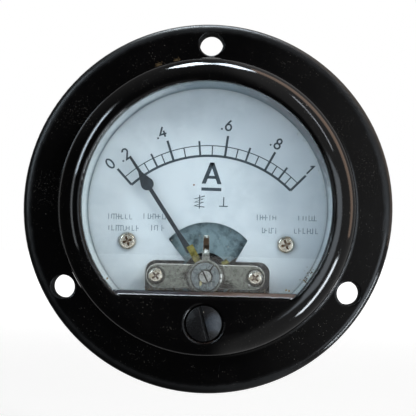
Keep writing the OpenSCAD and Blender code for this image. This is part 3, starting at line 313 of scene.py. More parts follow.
# %% Group: scratches
scratch_group, given, result = new_group(
    "hairline_scratches",
    [("Turn", VECTOR, None), ("Scale", FLOAT, 2600.0), ("Stretch", FLOAT, 0.06),
     ("Cut", FLOAT, 0.66)],
    [("Mask", FLOAT), ("Height", FLOAT)],
)
turned = put(
    scratch_group, "ShaderNodeVectorRotate",
    {"Vector": object_place(scratch_group), "Rotation": given["Turn"]},
    rotation_type="EULER_XYZ",
).outputs[0]
squeeze = put(scratch_group, "ShaderNodeCombineXYZ",
              {"X": given["Stretch"], "Y": 1.0, "Z": 1.0}).outputs[0]
squeezed = put(scratch_group, "ShaderNodeVectorMath", {0: turned, 1: squeeze},
               operation="MULTIPLY").outputs[0]
streaks = put(
    scratch_group, "ShaderNodeTexNoise",
    {"Vector": squeezed, "Scale": given["Scale"], "Detail": 2.0, "Roughness": 0.55},
)
ridge_end = math_node(scratch_group, "ADD", given["Cut"], 0.05)
ridges = step_between(scratch_group, streaks.outputs["Fac"], given["Cut"], ridge_end)
scratch_group.links.new(ridges, result.inputs["Mask"])
scratch_group.links.new(streaks.outputs["Fac"], result.inputs["Height"])
print("group", scratch_group.name)

# %% [markdown]
# ## A stain at one place
# Some marks are in one spot only: rust on a tail, a residue on the rim, the bare wall of a hole.
# The mask is full up to a core round a chosen point, fades out at a chosen reach and is torn up
# by noise. Everything of interest faces the reader, so the distance is measured across the dial
# only, and a mark goes straight through a bent piece.

# %% Group: local stain
stain_group, given, result = new_group(
    "local_stain",
    [("Centre", VECTOR, None), ("Reach", FLOAT, 0.003), ("Scale", FLOAT, 1200.0),
     ("Tear", FLOAT, 0.8), ("Core", FLOAT, 0.45)],
    [("Mask", FLOAT)],
)
place = object_place(stain_group)
offset = put(stain_group, "ShaderNodeVectorMath", {0: place, 1: given["Centre"]},
             operation="SUBTRACT").outputs[0]
across = put(stain_group, "ShaderNodeVectorMath", {0: offset, 1: (1.0, 0.0, 1.0)},
             operation="MULTIPLY").outputs[0]
away = put(stain_group, "ShaderNodeVectorMath", {0: across}, operation="LENGTH").outputs["Value"]
share = math_node(stain_group, "DIVIDE", away, given["Reach"])
torn = put(stain_group, "ShaderNodeTexNoise",
           {"Vector": place, "Scale": given["Scale"], "Detail": 3.0, "Roughness": 0.65})
wobble = math_node(
    stain_group, "MULTIPLY",
    math_node(stain_group, "SUBTRACT", torn.outputs["Fac"], 0.5), given["Tear"],
)
edge = math_node(stain_group, "ADD", share, math_node(stain_group, "MULTIPLY", wobble, 2.0))
mask = inverse(stain_group, step_between(stain_group, edge, given["Core"], 1.0))
stain_group.links.new(mask, result.inputs["Mask"])
print("group", stain_group.name)

# %% [markdown]
# ## Worn edges
# Handling and polishing bare the edges of a metal piece first. A Bevel node gives the normal that
# the surface would have if its edges were rounded. Where this differs from the real normal there
# is an edge, and a noise breaks the bright line into scraps. Laid in near white on the bridge, the
# same mask is mostly a painted highlight.

# %% Group: worn edges
wear_group, given, result = new_group(
    "worn_edges",
    [("Radius", FLOAT, 0.0002), ("Strength", FLOAT, 1.0), ("Scale", FLOAT, 2600.0)],
    [("Mask", FLOAT)],
)
BEVEL_SAMPLES = 4
rounded = put(wear_group, "ShaderNodeBevel", {"Radius": given["Radius"]},
              samples=BEVEL_SAMPLES).outputs[0]
straight = put(wear_group, "ShaderNodeNewGeometry").outputs["Normal"]
alike = put(wear_group, "ShaderNodeVectorMath", {0: rounded, 1: straight},
            operation="DOT_PRODUCT").outputs["Value"]
bend = math_node(wear_group, "MULTIPLY", inverse(wear_group, alike), 5.0, clamp=True)
scraps = put(wear_group, "ShaderNodeTexNoise",
             {"Vector": object_place(wear_group), "Scale": given["Scale"], "Detail": 2.0})
broken = step_between(wear_group, scraps.outputs["Fac"], 0.3, 0.55)
worn = math_node(wear_group, "MULTIPLY", math_node(wear_group, "MULTIPLY", bend, broken),
                 given["Strength"], clamp=True)
wear_group.links.new(worn, result.inputs["Mask"])
print("group", wear_group.name)

# %% [markdown]
# ## Placing a group
# use() drops a group into a material and fills its inputs, so that one line of a finish reads like
# one coat: a stain here, of this reach, torn up so much.


# %% Using a group
def use(tree, group, **inputs):
    """Place a group in a material. An input's name is written in small letters."""
    names = {socket.name.lower(): socket.name for socket in group.interface.items_tree}
    values = {names[name]: value for name, value in inputs.items()}
    return put(tree, "ShaderNodeGroup", values, node_tree=group)


def new_material(name):
    """An empty material with its tree and its output."""
    material = bpy.data.materials.new(name)
    material.use_nodes = True
    tree = material.node_tree
    tree.nodes.clear()
    return material, tree, tree.nodes.new("ShaderNodeOutputMaterial")


print("groups ready:", ", ".join(group.name for group in bpy.data.node_groups))

# %% [markdown]
# ## The general finish
# Most pieces are a metal, a moulding or a paint that differ only in numbers: two tones, the size
# of the patches, how rough it is and how much dust and grime lie on it. One function builds them
# all. A caller may lay stains of its own over the tone, a painted shade that deepens towards the
# back, and glints, which are painted highlights in near white. It may also ask for edges that look
# rounded and worn: the solids of small sheet pieces have sharp edges, and a real edge always
# catches a line of light. Worn edges and glints scatter light more than they mirror it, so they
# lose most of their metallic value, and the lamps light them as bright lines and spots.

# %% Colours and amounts that every finish shares
# The near-white of the glints is a painted highlight colour.
DUST_COLOUR, PAINTED_HIGHLIGHT_WHITE = rgba(176, 170, 158), rgba(232, 234, 232)
ROUGHER_IN_PATCHES, ROUGHER_IN_GRIME = 0.14, 0.3
METAL_LOST_IN_GLINTS, METAL_LOST_IN_WEAR = 0.8, 0.7
GRAIN_HEIGHT = 0.05 * MM
print("metal lost in glints:", METAL_LOST_IN_GLINTS, "and on worn edges:", METAL_LOST_IN_WEAR)


# %% Marks on a finish
def less_metal(tree, metallic, mask, loss):
    """The metallic value, with a share of it lost where a mask is."""
    left = inverse(tree, math_node(tree, "MULTIPLY", mask, loss))
    return math_node(tree, "MULTIPLY", metallic, left)


def lay_stains(tree, colour, stains):
    """Each stain is (centre, reach, colour, scale of its noise, tear)."""
    for centre, reach_m, stain_colour, scale, tear in stains:
        spot = use(tree, stain_group, centre=centre, reach=reach_m, scale=scale, tear=tear)
        colour = mix_colour(tree, spot.outputs["Mask"], colour, stain_colour)
    return colour


def lay_glints(tree, colour, metallic, glints):
    """Each glint is (centre, reach), a painted highlight. It whitens the colour and takes away
    metal.
    """
    for centre, reach_m in glints:
        spot = use(tree, stain_group, centre=centre, reach=reach_m, scale=3600.0, tear=0.9,
                   core=0.25)
        colour = mix_colour(tree, spot.outputs["Mask"], colour, PAINTED_HIGHLIGHT_WHITE)
        metallic = less_metal(tree, metallic, spot.outputs["Mask"], METAL_LOST_IN_GLINTS)
    return colour, metallic


def lay_shade(tree, colour, start, end, shade_colour):
    """Painted shade: darken from one depth in the case to another."""
    depth_in_case = put(tree, "ShaderNodeSeparateXYZ", {0: object_place(tree)}).outputs["Y"]
    return mix_colour(tree, step_between(tree, depth_in_case, start, end), colour, shade_colour)


print("marks: stains, glints and a shade")


# %% Relief of a finish
def relief(tree, scratches, grain, grain_scale, edge):
    """A bump of fine grain and scratches, over edges that may look rounded."""
    fine_noise = put(tree, "ShaderNodeTexNoise",
                     {"Vector": object_place(tree), "Scale": grain_scale, "Detail": 2.0})
    height = math_node(
        tree, "ADD", fine_noise.outputs["Fac"],
        math_node(tree, "MULTIPLY", scratches.outputs["Height"], 0.5),
    )
    bump_inputs = {"Height": height, "Strength": grain, "Distance": GRAIN_HEIGHT}
    if edge:
        rounded_edges = put(tree, "ShaderNodeBevel", {"Radius": edge}, samples=BEVEL_SAMPLES)
        bump_inputs["Normal"] = rounded_edges.outputs[0]
    return put(tree, "ShaderNodeBump", bump_inputs).outputs[0]


print("relief of at most", GRAIN_HEIGHT / MM, "mm")


# %% General finish
def finish(name, light, dark, metallic=0.0, roughness=0.4, patch=500.0, patches=(0.42, 0.66),
           grime=0.8, grime_colour=rgba(52, 44, 36), dust=0.06, grain=0.05, grain_scale=9000.0,
           turn=(0.0, 0.0, 0.0), stains=(), glints=(), edge=0.0, wear=0.0, wear_colour=None,
           scratch=0.25, grime_reach=0.0006, shade_from=0.0, shade_to=0.0, shade_colour=None):
    """A material from two tones, with patches, marks, worn edges, grime, dust and a grain."""
    material, tree, output = new_material(name)
    tone = use(tree, tone_group, light=light, dark=dark, scale=patch, low=patches[0],
               high=patches[1])
    scratches = use(tree, scratch_group, turn=turn)
    colour = lay_over(tree, tone.outputs["Color"], scratches.outputs["Mask"], scratch, light)
    colour = lay_stains(tree, colour, stains)
    if shade_colour:
        colour = lay_shade(tree, colour, shade_from, shade_to, shade_colour)
    colour, metallic = lay_glints(tree, colour, metallic, glints)
    if wear:
        bared = use(tree, wear_group, radius=edge, strength=wear)
        colour = mix_colour(tree, bared.outputs["Mask"], colour, wear_colour or light)
        if metallic:
            metallic = less_metal(tree, metallic, bared.outputs["Mask"], METAL_LOST_IN_WEAR)
    creases = use(tree, grime_group, strength=grime, distance=grime_reach)
    colour = mix_colour(tree, creases.outputs["Mask"], colour, grime_colour)
    dots = use(tree, speck_group, scale=2600.0, size=0.3, share=dust)
    colour = mix_colour(tree, dots.outputs["Mask"], colour, DUST_COLOUR)
    in_patches = math_node(tree, "MULTIPLY", tone.outputs["Mask"], ROUGHER_IN_PATCHES)
    in_grime = math_node(tree, "MULTIPLY", creases.outputs["Mask"], ROUGHER_IN_GRIME)
    rough = math_node(tree, "ADD", math_node(tree, "ADD", roughness, in_patches), in_grime)
    normal = relief(tree, scratches, grain, grain_scale, edge)
    shader = put(tree, "ShaderNodeBsdfPrincipled",
                 {"Base Color": colour, "Metallic": metallic, "Roughness": rough,
                  "Normal": normal})
    tree.links.new(shader.outputs[0], output.inputs[0])
    return material


print("general finish ready")


# %% Dressing a solid
def dress(material, *nodes):
    """Give CAD solids a material in their own slots."""
    for name in nodes:
        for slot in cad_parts[name].material_slots:
            slot.material = material
    print(material.name, "on", ", ".join(nodes))


print("solids to dress:", len(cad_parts))

# %% [markdown]
# ## Black moulding
# The cover is a glossy black phenolic moulding, decades old. It mirrors its surroundings, so its
# look comes from a very low roughness and a faint ripple of the moulded skin. All marks on it are
# set by place, since a reader would remember where they are: grit in two clusters at each side,
# two tan residues left of the top screw hole, the walls of the three screw holes, and the one part
# of the rim that has kept its gloss.

# %% Places on the cover
cover_low, cover_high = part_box("front_cover")
FLANGE_R = (cover_high.x - cover_low.x) / 2
HOLES_FROM_RIM, HOLE_REACH = 3.7 * MM, 2.2 * MM
PANEL_HOLE_R = FLANGE_R - HOLES_FROM_RIM
SCREW_HOLES = [
    Vector((PANEL_HOLE_R * math.cos(math.radians(a)), 0, PANEL_HOLE_R * math.sin(math.radians(a))))
    for a in (90, 210, 330)
]
RESIDUES = ((Vector((-5.9 * MM, 0, 25.5 * MM)), 0.85 * MM),
            (Vector((-8.9 * MM, 0, 24.6 * MM)), 1.0 * MM))
GRIT_CLUSTERS = ((Vector((22.8 * MM, 0, 14.8 * MM)), 3.4 * MM),
                 (Vector((27.7 * MM, 0, 6.6 * MM)), 5.2 * MM),
                 (Vector((-22.6 * MM, 0, 15.2 * MM)), 4.6 * MM),
                 (Vector((-28.0 * MM, 0, 2.6 * MM)), 4.6 * MM))
GLOSSY_RIM, GLOSSY_REACH = Vector((27.0 * MM, 0, -17.0 * MM)), 17.0 * MM
print("flange radius", round(FLANGE_R / MM, 2), "screw holes on", round(PANEL_HOLE_R / MM, 2))

# %% [markdown]
# ### Dust and grit on the gloss
# Fine dust lies only where a thin film has formed, single grits lie anywhere, and grit has
# gathered in the four clusters. It could be scattered as small meshes, but thousands of dots are
# cheaper as specks of the material, and they go round every edge.


# %% Dust and grit
def cover_dots(tree, film):
    """The dots of dust and grit on the cover, as one mask."""
    fine_dust = use(tree, speck_group, scale=5600.0, size=0.4, share=0.24)
    grit = use(tree, speck_group, scale=1700.0, size=0.17, share=0.03, shift=(0.4, 0.2, 0.7))
    on_film = math_node(tree, "MULTIPLY", fine_dust.outputs["Mask"], film)
    dots = math_node(tree, "ADD", on_film, grit.outputs["Mask"], clamp=True)
    dense = use(tree, speck_group, scale=4400.0, size=0.4, share=0.5, shift=(0.9, 0.1, 0.3))
    for centre, reach_m in GRIT_CLUSTERS:
        spot = use(tree, stain_group, centre=centre, reach=reach_m, scale=700.0, tear=1.0,
                   core=0.2)
        gathered = math_node(tree, "MULTIPLY", spot.outputs["Mask"], dense.outputs["Mask"])
        dots = math_node(tree, "MAXIMUM", dots, gathered)
    return dots


print("clusters of grit:", len(GRIT_CLUSTERS))

# %% [markdown]
# ### Dust and a painted reflection on the window's ledge
# The lower edge of the window is a ledge with dust on it. Its grey at the left and brown at the
# right is partly that dust and partly a painted reflection. The edge is rounded by a Bevel node,
# and the upward part of that normal tells where the tint lies. A wide stain about the pivot keeps
# it inside the window.

# %% Dust and painted reflection on the ledge
WINDOW_REACH, LEDGE_TURN = 24.0 * MM, 6.0 * MM
LEDGE_FROM, LEDGE_TO, LEDGE_DUST_AND_REFLECTION = 0.6, 0.85, 0.85


def lay_ledge_dust_and_reflection(tree, colour, softened):
    """Dust and a painted reflection where the softened edge faces up, browner at the right."""
    facing = put(tree, "ShaderNodeSeparateXYZ", {0: softened})
    in_window = use(tree, stain_group, centre=PIVOT, reach=WINDOW_REACH, tear=0.0, core=0.9)
    level = math_node(tree, "MULTIPLY", in_window.outputs["Mask"],
                      step_between(tree, facing.outputs["Z"], LEDGE_FROM, LEDGE_TO))
    rightward = put(tree, "ShaderNodeSeparateXYZ", {0: object_place(tree)}).outputs["X"]
    to_right = step_between(tree, rightward, -LEDGE_TURN, LEDGE_TURN)
    # The grey and brown tint is partly dust and partly a painted reflection.
    dust_and_reflection_tint = mix_colour(tree, to_right, rgba(64, 60, 68), rgba(134, 110, 98))
    return lay_over(tree, colour, level, LEDGE_DUST_AND_REFLECTION, dust_and_reflection_tint)


print("dust lies from an upward share of", LEDGE_FROM)

# %% [markdown]
# ### The rubbed rim
# Hands have rubbed the outermost edge of the flange dull, except at the lower right. Two stains
# give the mask: one covers all but the rim, the other covers the part that is still glossy, and
# what neither covers is rubbed.

# %% Rubbed rim
RIM_SHARE, RIM_CORE = 0.97, 0.965


def rubbed_rim(tree):
    """A mask of the rim of the flange, without the part that has kept its gloss."""
    inside = use(tree, stain_group, centre=Vector((0, 0, 0)), reach=RIM_SHARE * FLANGE_R,
                 scale=300.0, tear=0.01, core=RIM_CORE)
    kept_gloss = use(tree, stain_group, centre=GLOSSY_RIM, reach=GLOSSY_REACH, scale=200.0,
                     tear=0.2, core=0.7)
    return math_node(tree, "MULTIPLY", inverse(tree, inside.outputs["Mask"]),
                     inverse(tree, kept_gloss.outputs["Mask"]))


print("rubbed from a radius of", round(RIM_SHARE * RIM_CORE * FLANGE_R / MM, 1), "mm")

# %% [markdown]
# ### The coats of the cover
# The coats follow each other as they came on the real piece: the black, a thin uneven film that
# lifts it a little, grit, grime, residue, fine scratches, and dust with a painted reflection on
# the ledge. The walls of the screw holes were never polished: they are dull, or they would shine
# like little mirrors. The same Bevel node that finds the ledge lets all edges catch a wider line
# of light.

# %% Roughness of the cover
BASE_ROUGHNESS, RUBBED_DULL, DOTS_DULL, FILM_DULL = 0.06, 0.3, 0.5, 0.07


def cover_roughness(tree, film, dots):
    """Glossy, but duller under film and dots and on the rubbed rim."""
    dull = math_node(tree, "ADD", math_node(tree, "MULTIPLY", film, FILM_DULL),
                     math_node(tree, "MULTIPLY", dots, DOTS_DULL))
    rough = math_node(tree, "ADD", BASE_ROUGHNESS, dull)
    return math_node(tree, "ADD", rough,
                     math_node(tree, "MULTIPLY", rubbed_rim(tree), RUBBED_DULL))


print("roughness from", BASE_ROUGHNESS, "up")

# %% Black moulding
COVER_SOFTNESS = 0.55 * MM


def black_moulding():
    """Glossy black phenolic with ripple, dust, grit, residue, and dull walls of its holes."""
    material, tree, output = new_material("black_phenolic_gloss")
    tone = use(tree, tone_group, light=rgba(8, 8, 9), dark=rgba(11, 10, 11), scale=220.0)
    film = use(tree, tone_group, light=(0, 0, 0, 1), dark=(1, 1, 1, 1), scale=150.0, low=0.42,
               high=0.78).outputs["Mask"]
    colour = lay_over(tree, tone.outputs["Color"], film, 0.2, rgba(34, 32, 31))
    dots = cover_dots(tree, film)
    colour = lay_over(tree, colour, dots, 0.6, rgba(134, 126, 114))
    creases = use(tree, grime_group, distance=0.0009, strength=0.3, scale=900.0)
    colour = mix_colour(tree, creases.outputs["Mask"], colour, rgba(36, 32, 29))
    for centre, reach_m in RESIDUES:
        spot = use(tree, stain_group, centre=centre, reach=reach_m, scale=2200.0, tear=1.0)
        colour = lay_over(tree, colour, spot.outputs["Mask"], 0.6, rgba(140, 120, 90))
    scratches = use(tree, scratch_group, turn=(0.0, 1.45, 0.0), scale=3200.0, cut=0.72)
    colour = lay_over(tree, colour, scratches.outputs["Mask"], 0.06, rgba(120, 120, 126))
    softened = put(tree, "ShaderNodeBevel", {"Radius": COVER_SOFTNESS}, samples=6).outputs[0]
    colour = lay_ledge_dust_and_reflection(tree, colour, softened)
    rough = cover_roughness(tree, film, dots)
    for centre in SCREW_HOLES:
        wall = use(tree, stain_group, centre=centre, reach=HOLE_REACH, tear=0.0, core=0.95)
        rough = math_node(tree, "MAXIMUM", rough, wall.outputs["Mask"])
        colour = mix_colour(tree, wall.outputs["Mask"], colour, rgba(6, 6, 6))
    ripple = put(tree, "ShaderNodeTexNoise",
                 {"Vector": object_place(tree), "Scale": 300.0, "Detail": 2.0})
    height = math_node(tree, "ADD", ripple.outputs["Fac"],
                       math_node(tree, "MULTIPLY", dots, 0.5))
    bump = put(tree, "ShaderNodeBump",
               {"Height": height, "Strength": 0.02, "Distance": 0.1 * MM, "Normal": softened})
    shader = put(tree, "ShaderNodeBsdfPrincipled",
                 {"Base Color": colour, "Roughness": rough, "Normal": bump.outputs[0]})
    tree.links.new(shader.outputs[0], output.inputs[0])
    return material


dress(black_moulding(), "front_cover")

# %% [markdown]
# ### The other mouldings
# The screw in the mask is of the same stuff, but turned and handled, so it is greyer and less
# glossy, and a paler bluish patch on its right half is a painted sheen. The case behind the panel
# never gets polished and stays matt. The pale shroud round the dial is darkened by painted shade
# towards its back, and by a painted shadow of the rim at the top and the upper right.

# %% Black and brown mouldings
dress(finish("zero_screw_black", rgba(30, 30, 32), rgba(22, 21, 21), roughness=0.24, patch=700.0,
             dust=0.08, grain=0.3, grain_scale=5200.0, edge=0.12 * MM, wear=0.5,
             wear_colour=rgba(74, 78, 84), grime=0.5, grime_colour=rgba(14, 13, 12),
             # The paler bluish stain on the right half of the screw is a painted sheen.
             stains=((Vector((1.75 * MM, 0, -19.5 * MM)), 1.9 * MM, rgba(58, 66, 76), 900.0,
                      0.3),)), "zero_screw")
dress(finish("case_black_matt", rgba(28, 28, 30), rgba(20, 19, 19), roughness=0.5, patch=160.0,
             dust=0.16, grain=0.2, grain_scale=2600.0), "rear_case")
dress(finish("bobbin_brown", rgba(74, 52, 38), rgba(52, 36, 28), roughness=0.55), "coil_bobbin")

# %% Pale shroud
shroud_front, shroud_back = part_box("glass_shroud")
dress(finish("shroud_white", rgba(200, 208, 212), rgba(182, 191, 196), roughness=0.42,
             patch=260.0, grime=0.4, grime_colour=rgba(120, 118, 110),
             # From the middle of its depth to its back the shroud is darkened by painted shade.
             shade_from=(shroud_front.y + shroud_back.y) / 2,
             shade_to=shroud_back.y, shade_colour=rgba(88, 104, 112),
             # The two stains at the top and upper right are the painted shadow of the rim.
             stains=((Vector((3.0 * MM, 0, 20.0 * MM)), 13.0 * MM, rgba(128, 142, 150), 500.0,
                      0.5),
                     (Vector((15.0 * MM, 0, 13.5 * MM)), 13.0 * MM, rgba(112, 112, 118), 500.0,
                      0.6))), "glass_shroud")

# %% [markdown]
# ## Metals of the movement
# Bridge, washers and screws are nickelled, and the nickel has gone dull and yellowish in clouds.
# The tone and the roughness change all over them. Rust and dirt are laid over as stains, since
# they are in places that someone would remember. The thin sheet pieces get rounded, worn edges,
# and only there and on the glints does the metallic value fall below 1. The glints are painted
# highlights, and so in the main are the near-white worn edges of the bridge.


# %% Places and colours of the nickel
def near_pivot(x, up):
    """The place x mm right of the pivot and up mm above it, for a stain."""
    return PIVOT + Vector((x * MM, 0, up * MM))


NICKEL, NICKEL_DARK = rgba(128, 130, 122), rgba(80, 80, 72)
BRIGHT_NICKEL = rgba(226, 226, 222)
RUST, DIRT = rgba(74, 58, 46), rgba(44, 40, 34)
print("pivot for the stains at", [round(v / MM, 2) for v in near_pivot(0, 0)])

# %% Nickelled pieces
dress(finish("bridge_nickel", NICKEL, NICKEL_DARK, 1.0, 0.36, patch=1700.0, grain=0.9,
             grain_scale=5200.0, dust=0.08, grime=3.0, grime_reach=0.00045, edge=0.26 * MM,
             # The near-white worn edge is partly wear and mostly a painted highlight along the
             # bridge's edges.
             wear=3.0, wear_colour=rgba(250, 248, 240),
             stains=((near_pivot(-3.3, 0.2), 1.0 * MM, DIRT, 3600.0, 1.2),
                     (near_pivot(3.6, -2.0), 1.8 * MM, DIRT, 2800.0, 1.2)),
             # The glints are painted highlights.
             glints=((near_pivot(7.6, -1.2), 0.3 * MM), (near_pivot(3.0, 2.0), 0.2 * MM))),
      "bridge")
dress(finish("screw_nickel", rgba(214, 209, 198), rgba(160, 148, 126), 1.0, 0.2, patch=1200.0,
             grime=1.7, grime_colour=rgba(96, 66, 40), grain=0.15, edge=0.1 * MM),
      "dial_screws", "bridge_screws")
dress(finish("jewel_screw_nickel", rgba(168, 170, 168), rgba(104, 102, 96), 1.0, 0.35,
             patch=1500.0, grime=3.0, grime_reach=0.0004, grain=0.3, edge=0.1 * MM, wear=0.7,
             wear_colour=BRIGHT_NICKEL), "front_jewel_screw")
dress(finish("washer_nickel", rgba(122, 130, 132), rgba(76, 80, 80), 1.0, 0.42, patch=1700.0,
             grime=3.2, grime_reach=0.0004, grain=0.7, grain_scale=6000.0, edge=0.08 * MM,
             wear=0.5, wear_colour=BRIGHT_NICKEL), "lever_washer", "jewel_bush")
dress(finish("lever_nickel", rgba(132, 134, 128), rgba(82, 82, 76), 1.0, 0.38, patch=1900.0,
             grime=3.0, grime_reach=0.0004, grain=0.6, edge=0.1 * MM, wear=0.6,
             wear_colour=BRIGHT_NICKEL,
             stains=((near_pivot(0, 5.25), 0.95 * MM, RUST, 2400.0, 0.5),
                     (near_pivot(0, 6.1), 0.85 * MM, RUST, 2400.0, 0.5)),
             # The glints on the tip and bend of the tail and on the rim are painted highlights.
             glints=((near_pivot(0, 4.32), 0.5 * MM), (near_pivot(0, 7.1), 0.45 * MM),
                     (near_pivot(2.65, 0.15), 0.6 * MM), (near_pivot(2.6, -0.6), 0.4 * MM))),
      "zero_lever")

# %% [markdown]
# ### Steel, iron, aluminium and brass
# These lie deeper in the case or behind it, where they show little. Two tones are enough for them,
# with a soft edge on those that can catch a light.

# %% Steel, iron and aluminium
dress(finish("steel_zinc", rgba(160, 164, 166), rgba(112, 116, 118), 1.0, 0.38, patch=420.0,
             edge=0.15 * MM), "movement_plate", "rear_bracket", "zero_screw_clip")
dress(finish("steel_bright", rgba(214, 216, 218), rgba(170, 172, 174), 1.0, 0.18, patch=900.0,
             edge=0.1 * MM), "spindle", "plate_screws", "case_screws", "terminal_washers",
      "solder_lugs")
dress(finish("soft_iron", rgba(110, 114, 118), rgba(70, 72, 76), 1.0, 0.5, patch=700.0),
      "moving_iron", "fixed_iron")
dress(finish("aluminium_sheet", rgba(200, 203, 206), rgba(160, 163, 166), 1.0, 0.35,
             patch=600.0), "damping_vane")

# %% Brass and bronze
dress(finish("brass_turned", rgba(196, 164, 92), rgba(140, 112, 58), 1.0, 0.3, patch=700.0,
             grime=1.0, edge=0.12 * MM), "dial_posts", "bridge_posts", "spring_collet",
      "rear_jewel_screw", "rear_jewel_nut", "terminal_nuts", "terminal_studs")
dress(finish("brass_tarnished", rgba(150, 142, 84), rgba(96, 90, 44), 1.0, 0.4, patch=1200.0,
             grime=0.8, edge=0.08 * MM), "pointer_carrier", "balance_weights")
spring_bronze = finish("spring_bronze", rgba(70, 58, 40), rgba(36, 30, 22), 1.0, 0.35,
                       patch=1500.0, grime=0.2, dust=0.0)
dress(spring_bronze, "hairspring")

# %% [markdown]
# ## Painted and lacquered pieces
# The pointer has a matt dark lacquer, worn pale along its edges. The cover of the damping chamber
# is a blue-grey lacquered sheet with streaks. The coil is wound with lacquered copper: its turns
# are a fine wave across the width, which is enough for a coil that sits deep in the case.

# %% Lacquers
dress(finish("pointer_lacquer", rgba(42, 50, 58), rgba(28, 34, 40), roughness=0.4, patch=420.0,
             grime=0.1, dust=0.04, edge=0.12 * MM, wear=0.7, wear_colour=rgba(126, 122, 120)),
      "pointer")
dress(finish("cover_lacquer", rgba(126, 148, 156), rgba(64, 80, 86), metallic=0.25,
             roughness=0.46, patch=260.0, dust=0.1, grime=0.6, turn=(0.0, 1.5, 0.0)),
      "chamber_cover")
dress(finish("chamber_dark", rgba(44, 50, 54), rgba(26, 30, 33), roughness=0.5),
      "damping_chamber")
dress(finish("lead_insulation", rgba(150, 48, 36), rgba(110, 34, 26), roughness=0.5,
             patch=300.0), "coil_leads")


# %% Wound copper
def wound_copper():
    """Lacquered copper whose turns run round the coil's axis."""
    material, tree, output = new_material("wound_copper")
    turns = put(tree, "ShaderNodeTexWave",
                {"Vector": object_place(tree), "Scale": 640.0, "Distortion": 0.3},
                bands_direction="Y")
    tone = use(tree, tone_group, light=rgba(178, 96, 50), dark=rgba(120, 58, 30), scale=300.0)
    colour = mix_colour(tree, turns.outputs["Fac"], rgba(70, 32, 18), tone.outputs["Color"])
    bump = put(tree, "ShaderNodeBump",
               {"Height": turns.outputs["Fac"], "Strength": 0.6, "Distance": 0.0002})
    shader = put(tree, "ShaderNodeBsdfPrincipled",
                 {"Base Color": colour, "Metallic": 0.9, "Roughness": 0.34,
                  "Normal": bump.outputs[0]})
    tree.links.new(shader.outputs[0], output.inputs[0])
    return material


dress(wound_copper(), "coil_winding")

# %% [markdown]
# ## Dial enamel
# The plate is sprayed a cool pale grey. It is matt, with a weak cloudiness, one foxed dot, a patch
# of dirt low at the right and dirt that gathered round the screws.

# %% Dial enamel
dress(finish("dial_enamel", rgba(203, 212, 219), rgba(193, 203, 211), roughness=0.62,
             patch=120.0, grime=0.5, grime_colour=rgba(110, 112, 108), dust=0.0, grain=0.12,
             grain_scale=3600.0, scratch=0.0,
             stains=((on_dial(-2.47, 3.94), 0.22 * MM, rgba(120, 70, 40), 3000.0, 0.3),
                     (on_dial(9.6, -10.4), 0.9 * MM, rgba(150, 140, 122), 1800.0, 1.0))),
      "dial_plate")

# %% [markdown]
# ## Glass
# Real glass bends what is behind it, but lamps would then leave the dial dark, because a render
# doesn't follow light through glass to a surface. For rays from lamps the glass is therefore
# plain clear, and for every other ray it is true glass.


# %% Glass
def window_pane():
    """Clear glass that lets the lamps through."""
    material, tree, output = new_material("window_glass_clear")
    tone = use(tree, tone_group, light=(0.98, 0.99, 0.99, 1), dark=(0.95, 0.97, 0.97, 1),
               scale=90.0)
    glass = put(tree, "ShaderNodeBsdfPrincipled",
                {"Base Color": tone.outputs["Color"], "Roughness": 0.0, "IOR": 1.5,
                 "Transmission Weight": 1.0})
    clear = put(tree, "ShaderNodeBsdfTransparent", {"Color": (0.92, 0.95, 0.94, 1)})
    ray = put(tree, "ShaderNodeLightPath").outputs["Is Shadow Ray"]
    both_ways = put(tree, "ShaderNodeMixShader",
                    {0: ray, 1: glass.outputs[0], 2: clear.outputs[0]})
    tree.links.new(both_ways.outputs[0], output.inputs[0])
    return material


dress(window_pane(), "window_glass")

# %% [markdown]
# ## Printing the dial
# The scale, the figures and the signs are printed in dark ink. Each line is drawn as a thin
# closed ribbon that lies on the enamel, so it is real geometry and stays sharp at any distance.
# A pen helper turns a list of points into a ribbon of constant width.

# %% Inks
INK_THICKNESS = 0.012 * MM
ink = finish("printed_ink", rgba(46, 60, 70), rgba(58, 72, 82), roughness=0.5, patch=900.0,
             grime=0.0, dust=0.0)
faint_ink = finish("worn_ink", rgba(118, 132, 142), rgba(150, 164, 174), roughness=0.55,
                   patch=1500.0, grime=0.0, dust=0.0)
print("ink lies", INK_THICKNESS / MM, "mm thick")

# %% [markdown]
# ### Skins
# Most drawn pieces are a row of rings of corners with faces between them: a line of ink, a
# threaded stud, the hairspring, and a flake, which has only two rings. Curves with a bevel would
# do for some of them, but the rings let each piece set its own corners, and keep the faces few.


# %% Skins and pieces
def skin(mesh, rings, looped=False):
    """Join rings of corners with faces, and cap the two ends unless the rings form a loop."""
    following = rings[1:] + rings[:1] if looped else rings[1:]
    for a, b in zip(rings, following):
        for k in range(len(a)):
            j = (k + 1) % len(a)
            mesh.faces.new((a[k], a[j], b[j], b[k]))
    if not looped:
        mesh.faces.new(rings[0])
        mesh.faces.new(reversed(rings[-1]))


def new_piece(name, mesh, material):
    """Turn a bmesh into an object of the scene."""
    bmesh.ops.recalc_face_normals(mesh, faces=mesh.faces)
    data = bpy.data.meshes.new(name)
    mesh.to_mesh(data)
    mesh.free()
    data.materials.append(material)
    piece = bpy.data.objects.new(name, data)
    bpy.context.scene.collection.objects.link(piece)
    print(name, len(data.polygons), "faces")
    return piece


def finish_piece(name, mesh, material, body="case"):
    """Turn a bmesh into a piece that rides on a body."""
    piece = new_piece(name, mesh, material)
    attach(piece, body)
    return piece


print("mesh helpers ready")

# %% [markdown]
# ### The pen
# At each point of a line the pen puts four corners, two on the enamel and two on top of the ink.
# Where the line bends they move outwards, so that the ribbon keeps its width.

# %% Ink pen
SHARPEST_MITRE = 0.4


